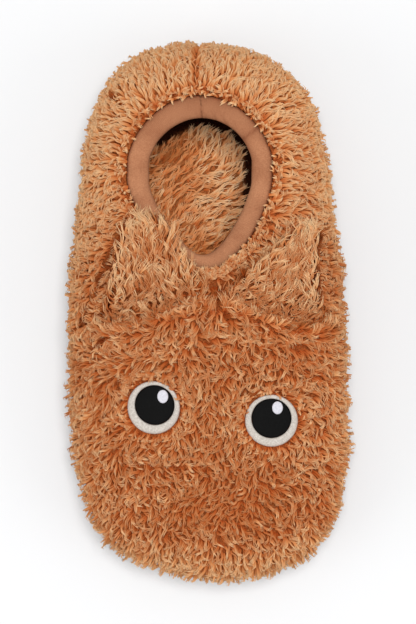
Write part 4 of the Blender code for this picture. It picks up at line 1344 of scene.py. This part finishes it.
def build_eyes():
    """Embroidered eyes: a pale ring, thicker toward the toe, a black disc and a white glint."""
    pale = thread_material("pale_thread", srgb(227, 220, 211), srgb(160, 151, 141), True, 0.6)
    black = thread_material("black_thread", srgb(12, 12, 12), srgb(1, 1, 1), False, 0.7)
    white = thread_material("white_thread", srgb(232, 231, 238), srgb(186, 184, 192), False, 0.6)
    on_pupil = EYE_GAP + STITCH_THICK * 0.9
    for name, rx, ry, rr, px, py, pr, gx, gy, gr in EYES:
        eye = "eye_" + name
        ring = stitched_pad(eye + "_ring", (px, py, pr + 0.0001), (rx, ry, rr), EYE_GAP,
                            STITCH_THICK * 1.1, 0.0003)
        pupil = stitched_pad(eye + "_pupil", None, (px, py, pr), EYE_GAP, STITCH_THICK, 0.0003)
        glint = stitched_pad(eye + "_glint", None, (gx, gy, gr * 0.92), on_pupil, GLINT_THICK,
                             0.0002, 40, 7, 1.22)
        dress(ring, pale, "pale_thread", "eye_ring_" + name)
        dress(pupil, black, "black_thread", "eye_pupil_" + name)
        dress(glint, white, "white_thread", "eye_glint_" + name)


# Footbed and sole.
def loop_patch(ring, across, along):
    """Coons patch over a closed loop, corners at the ends of the toe and heel arcs.

    A point is the blend of left and right, plus the blend of heel and toe, less the blend of
    the four corners.
    """
    loop = np.concatenate([ring, ring[:1]])
    arc = np.concatenate([[0.0], np.cumsum(np.linalg.norm(np.diff(loop, axis=0), axis=1))])
    end = 0.060

    def at(share):
        s = (share % 1.0) * arc[-1]
        return np.stack([np.interp(s, arc, loop[:, 0]), np.interp(s, arc, loop[:, 1])], -1)

    u = np.linspace(0.0, 1.0, across + 1)
    v = np.linspace(0.0, 1.0, along + 1)
    left = at(end + (0.5 - 2.0 * end) * v)[:, None]
    right = at(1.0 - end - (0.5 - 2.0 * end) * v)[:, None]
    heel = at(end - 2.0 * end * u)[None]
    toe = at(0.5 - end + 2.0 * end * u)[None]
    u = u[None, :, None]
    v = v[:, None, None]
    corners = (left[:1] * (1 - u) * (1 - v) + right[:1] * u * (1 - v)
               + left[-1:] * (1 - u) * v + right[-1:] * u * v)
    return left * (1 - u) + right * u + heel * (1 - v) + toe * v - corners


def border_walk(rows, columns):
    """Places of a grid's border points, once round."""
    place = np.arange(rows * columns).reshape(rows, columns)
    return np.concatenate([place[:-1, 0], place[-1, :-1], place[:0:-1, -1], place[0, :0:-1]])


def slab(name, top, top_z, under, under_z, bands):
    """Closed slab between two patches, with a loop round its side for each band.

    A band's loop is top + (under - top) * share, with one share in plan and one in height.
    """
    rows, columns = top.shape[:2]
    upper = np.dstack([top, top_z]).reshape(-1, 3)
    lower = np.dstack([under, under_z]).reshape(-1, 3)
    edge = border_walk(rows, columns)
    verts = [upper, lower]
    loops = [edge]
    for out, fall in bands:
        ring = upper[edge] * (1.0 - fall) + lower[edge] * fall
        ring[:, :2] = upper[edge, :2] * (1.0 - out) + lower[edge, :2] * out
        loops.append(sum(map(len, verts)) + np.arange(len(edge)))
        verts.append(ring)
    loops.append(len(upper) + edge)
    quads = grid_faces(rows, columns)
    faces = [quads[:, ::-1], quads + len(upper)]
    for p, q in zip(loops, loops[1:]):
        faces.append(np.stack([p, np.roll(p, -1), np.roll(q, -1), q], 1))
    verts = np.concatenate(verts)
    return mesh_object(name, verts, outward(verts, np.concatenate(faces)))


def under_rim(x, y):
    """Share of the painted shadow under the rim, seen past the opening's heel and inner edges.

    The opening is thrown on the footbed from the eye point, and the share falls with the
    distance from its line. It is worked out once, in plan, and stays where it is in every view.
    """
    opening = rings(np.arange(240) / 240)[2][:, :2]
    rim_height = top_height(opening[:, 0], opening[:, 1], PILE)[:, None]
    grow = (EYE_POINT[2] - FOOTBED_HIGH) / (EYE_POINT[2] - rim_height)
    seen = EYE_POINT[:2] + (opening - EYE_POINT[:2]) * grow
    away = np.hypot(x[..., None] - seen[:, 0], y[..., None] - seen[:, 1]).min(axis=-1)
    heel_side = smooth_share(y, 0.072, 0.082)
    inner_side = smooth_share(x, 0.008, 0.018) * smooth_share(y, 0.034, 0.046)
    return smooth_share(away, 0.0120, 0.0022) * np.maximum(heel_side, inner_side)


def footbed_locks(patch, z):
    """Combed pile where the opening and the way in show it, thinned where the shadow under the rim
    is painted.
    """
    surface = np.dstack([patch, z])
    surface = surface[surface[:, :, 1].min(axis=1) > FOOTBED_PILE_END]
    point, normal, _, _ = even_points(surface, FOOTBED_LOCKS)
    normal = np.where(normal[:, 2:] < 0.0, -normal, normal)
    rim_shadow = under_rim(point[:, 0], point[:, 1])
    keep = rim_shadow < rng.uniform(0.60, 0.80, len(point))
    point, normal, rim_shadow = point[keep], normal[keep], rim_shadow[keep]
    n = len(point)
    x, y, _ = point.T
    left = smooth_share(-x, -0.004, 0.020)
    comb = 0.60 + 0.50 * left + rng.normal(0.0, 0.20, n) + 0.30 * swirl(point, 110.0, 21)
    way = laid(level(np.stack([np.cos(comb), np.sin(comb)], 1)), normal)
    # Tone: darker on the left, round FOOTBED_SPOT and toward the toe end as painted shade, and paler
    # toward the heel as painted light; chance varies it.
    patch_shade = spot(point, FOOTBED_SPOT)
    shaded_end = smooth_share(-y, -0.042, -0.026)
    tone = 0.62 - 0.20 * left - 0.24 * smooth_share(-x, 0.006, 0.015) * smooth_share(y, 0.03, 0.05)
    tone += 0.25 * smooth_share(y, 0.055, 0.085) - 0.6 * patch_shade - 0.50 * shaded_end
    tone = np.clip(tone + rng.normal(0.0, 0.19, n), 0.0, 1.0)
    shaded = rng.uniform(0.0, 1.0, n) < 0.60 * patch_shade + 0.35 * shaded_end
    tone = np.where(shaded, -rng.uniform(0.1, 0.5, n), tone)
    return dict(root=point, normal=normal, way=way, tone=tone,
                length=rng.uniform(*FOOTBED_LENGTH, n) * (1.0 - 0.40 * rim_shadow),
                height=rng.uniform(*FOOTBED_HEIGHT, n),
                curl=signed(0.1, 0.7, n))


def build_insole():
    """Footbed of cloth with painted shadow under the rim, with its own pile."""
    outline, _, _ = rings(np.arange(240) / 240)
    ring = inward_ring(feather_ring(outline, PILE + WALL), GAP)
    patch = loop_patch(ring, 64, 140)
    z = sole_top(patch[..., 1]) + GAP
    body = slab("footbed", patch, z + INSOLE_THICK, patch, z, ((0.0, 0.3), (0.0, 0.7)))
    co = np.empty(3 * len(body.data.vertices), dtype=np.float32)
    body.data.vertices.foreach_get("co", co)
    # Painted shadow under the rim: the cloth darkens toward its shadow colour.
    dark = smooth_share(under_rim(co[0::3].astype(float), co[1::3].astype(float)), 0.70, 0.95)
    shade = body.data.attributes.new("rim_shadow", "FLOAT", "POINT")
    shade.data.foreach_set("value", dark.astype(np.float32))
    n = Nodes("footbed_cloth")
    base, mottle = short_pile(n, *FOOTBED_COLOURS)
    base = n.mix(n.attribute("rim_shadow"), base, RIM_SHADOW_COLOUR)
    dress(body, cloth(n, base, mottle, 0.0008), "footbed_plush", "insole")
    pile_object("footbed_pile", footbed_locks(patch, z + INSOLE_THICK), FOOTBED_MATERIAL,
                "footbed_plush", "insole", swing=0.3)


def sole_material():
    """Soft matt rubber; small round grip dots stand in rows on its underside."""
    n = Nodes("soft_outsole")
    fine = n.noise(900.0, 3.0)
    x = n.axis(0)
    y = n.axis(1)
    pitch = 2.0 * math.pi / GRIP_PITCH * math.sqrt(0.5)
    dots = n.math("SINE", (x + y) * pitch) * n.math("SINE", (x - y) * pitch)
    below = n.range(n.axis(2), 0.0008, 0.0022, 1.0, 0.0)
    grip = n.range(n.math("ABSOLUTE", dots), 0.62, 0.74) * below
    base = n.mix(n.range(fine, 0.35, 0.65), *SOLE_COLOURS)
    base = n.mix(grip, base, GRIP_COLOUR)
    return n.surface(Base_Color=base, Roughness=0.8, Specular_IOR_Level=0.3,
                     Normal=n.bump(fine * 0.3 + grip, 0.0005))


def build_sole():
    """Soft outsole with a rounded lower edge."""
    outline, _, _ = rings(np.arange(320) / 320)
    ring = inward_ring(feather_ring(outline, PILE), -SOLE_EDGE)
    top = loop_patch(ring, 28, 84)
    under = loop_patch(inward_ring(ring, SOLE_ROUND), 28, 84)
    obj = slab("outsole", top, sole_top(top[..., 1]), under, sole_under(under[..., 1]), SOLE_BANDS)
    dress(obj, sole_material(), "outsole", "sole")


# Surroundings.
def build_floor():
    """Plain pale paper."""
    r = 3.0
    floor = mesh_object("floor", [(-r, -r, 0.0), (r, -r, 0.0), (r, r, 0.0), (-r, r, 0.0)],
                        [0, 1, 2, 3])
    n = Nodes("floor_paper")
    floor.data.materials.append(n.surface(Base_Color=FLOOR_COLOUR, Roughness=0.9,
                                          Specular_IOR_Level=0.1))


def build_light(name, place, strength, spread):
    """Even light from a direction, as from a wide softbox far away."""
    data = bpy.data.lights.new(name, "SUN")
    data.energy = strength
    data.angle = math.radians(spread)
    obj = bpy.data.objects.new(name, data)
    obj.location = place
    obj.rotation_euler = Vector([-v for v in place]).to_track_quat("-Z", "Y").to_euler()
    bpy.context.scene.collection.objects.link(obj)


def build_camera():
    """Camera at the eye point, aimed between heel and toe, with the slipper's length upright."""
    data = bpy.data.cameras.new("camera")
    data.sensor_fit = "VERTICAL"
    data.sensor_height = SENSOR_HEIGHT
    data.lens = SENSOR_HEIGHT * np.linalg.norm(EYE_POINT - AIM_POINT) / FRAME_HEIGHT
    camera = bpy.data.objects.new("camera", data)
    camera.location = EYE_POINT
    back = unit(EYE_POINT - AIM_POINT)
    right = unit(np.cross(np.array([0.0, 1.0, 0.0]), back))
    turn = np.stack([right, np.cross(back, right), back], axis=1)
    camera.rotation_euler = Matrix(turn.tolist()).to_euler()
    bpy.context.scene.collection.objects.link(camera)
    bpy.context.scene.camera = camera


def build_surroundings():
    """Pale floor, soft light from above the heel, and the camera high over the inner side."""
    build_floor()
    world = bpy.data.worlds.new("soft_room")
    world.use_nodes = True
    background = world.node_tree.nodes["Background"]
    background.inputs[0].default_value = (1.0, 1.0, 1.0, 1.0)
    background.inputs[1].default_value = ROOM_LIGHT
    bpy.context.scene.world = world
    bpy.context.scene.view_settings.view_transform = "Standard"
    for light in LIGHTS:
        build_light(*light)
    build_camera()


build_surroundings()
build_sole()
build_insole()
build_backing()
build_binding()
build_pile()
for ear in EARS:
    build_ear(ear)
build_eyes()
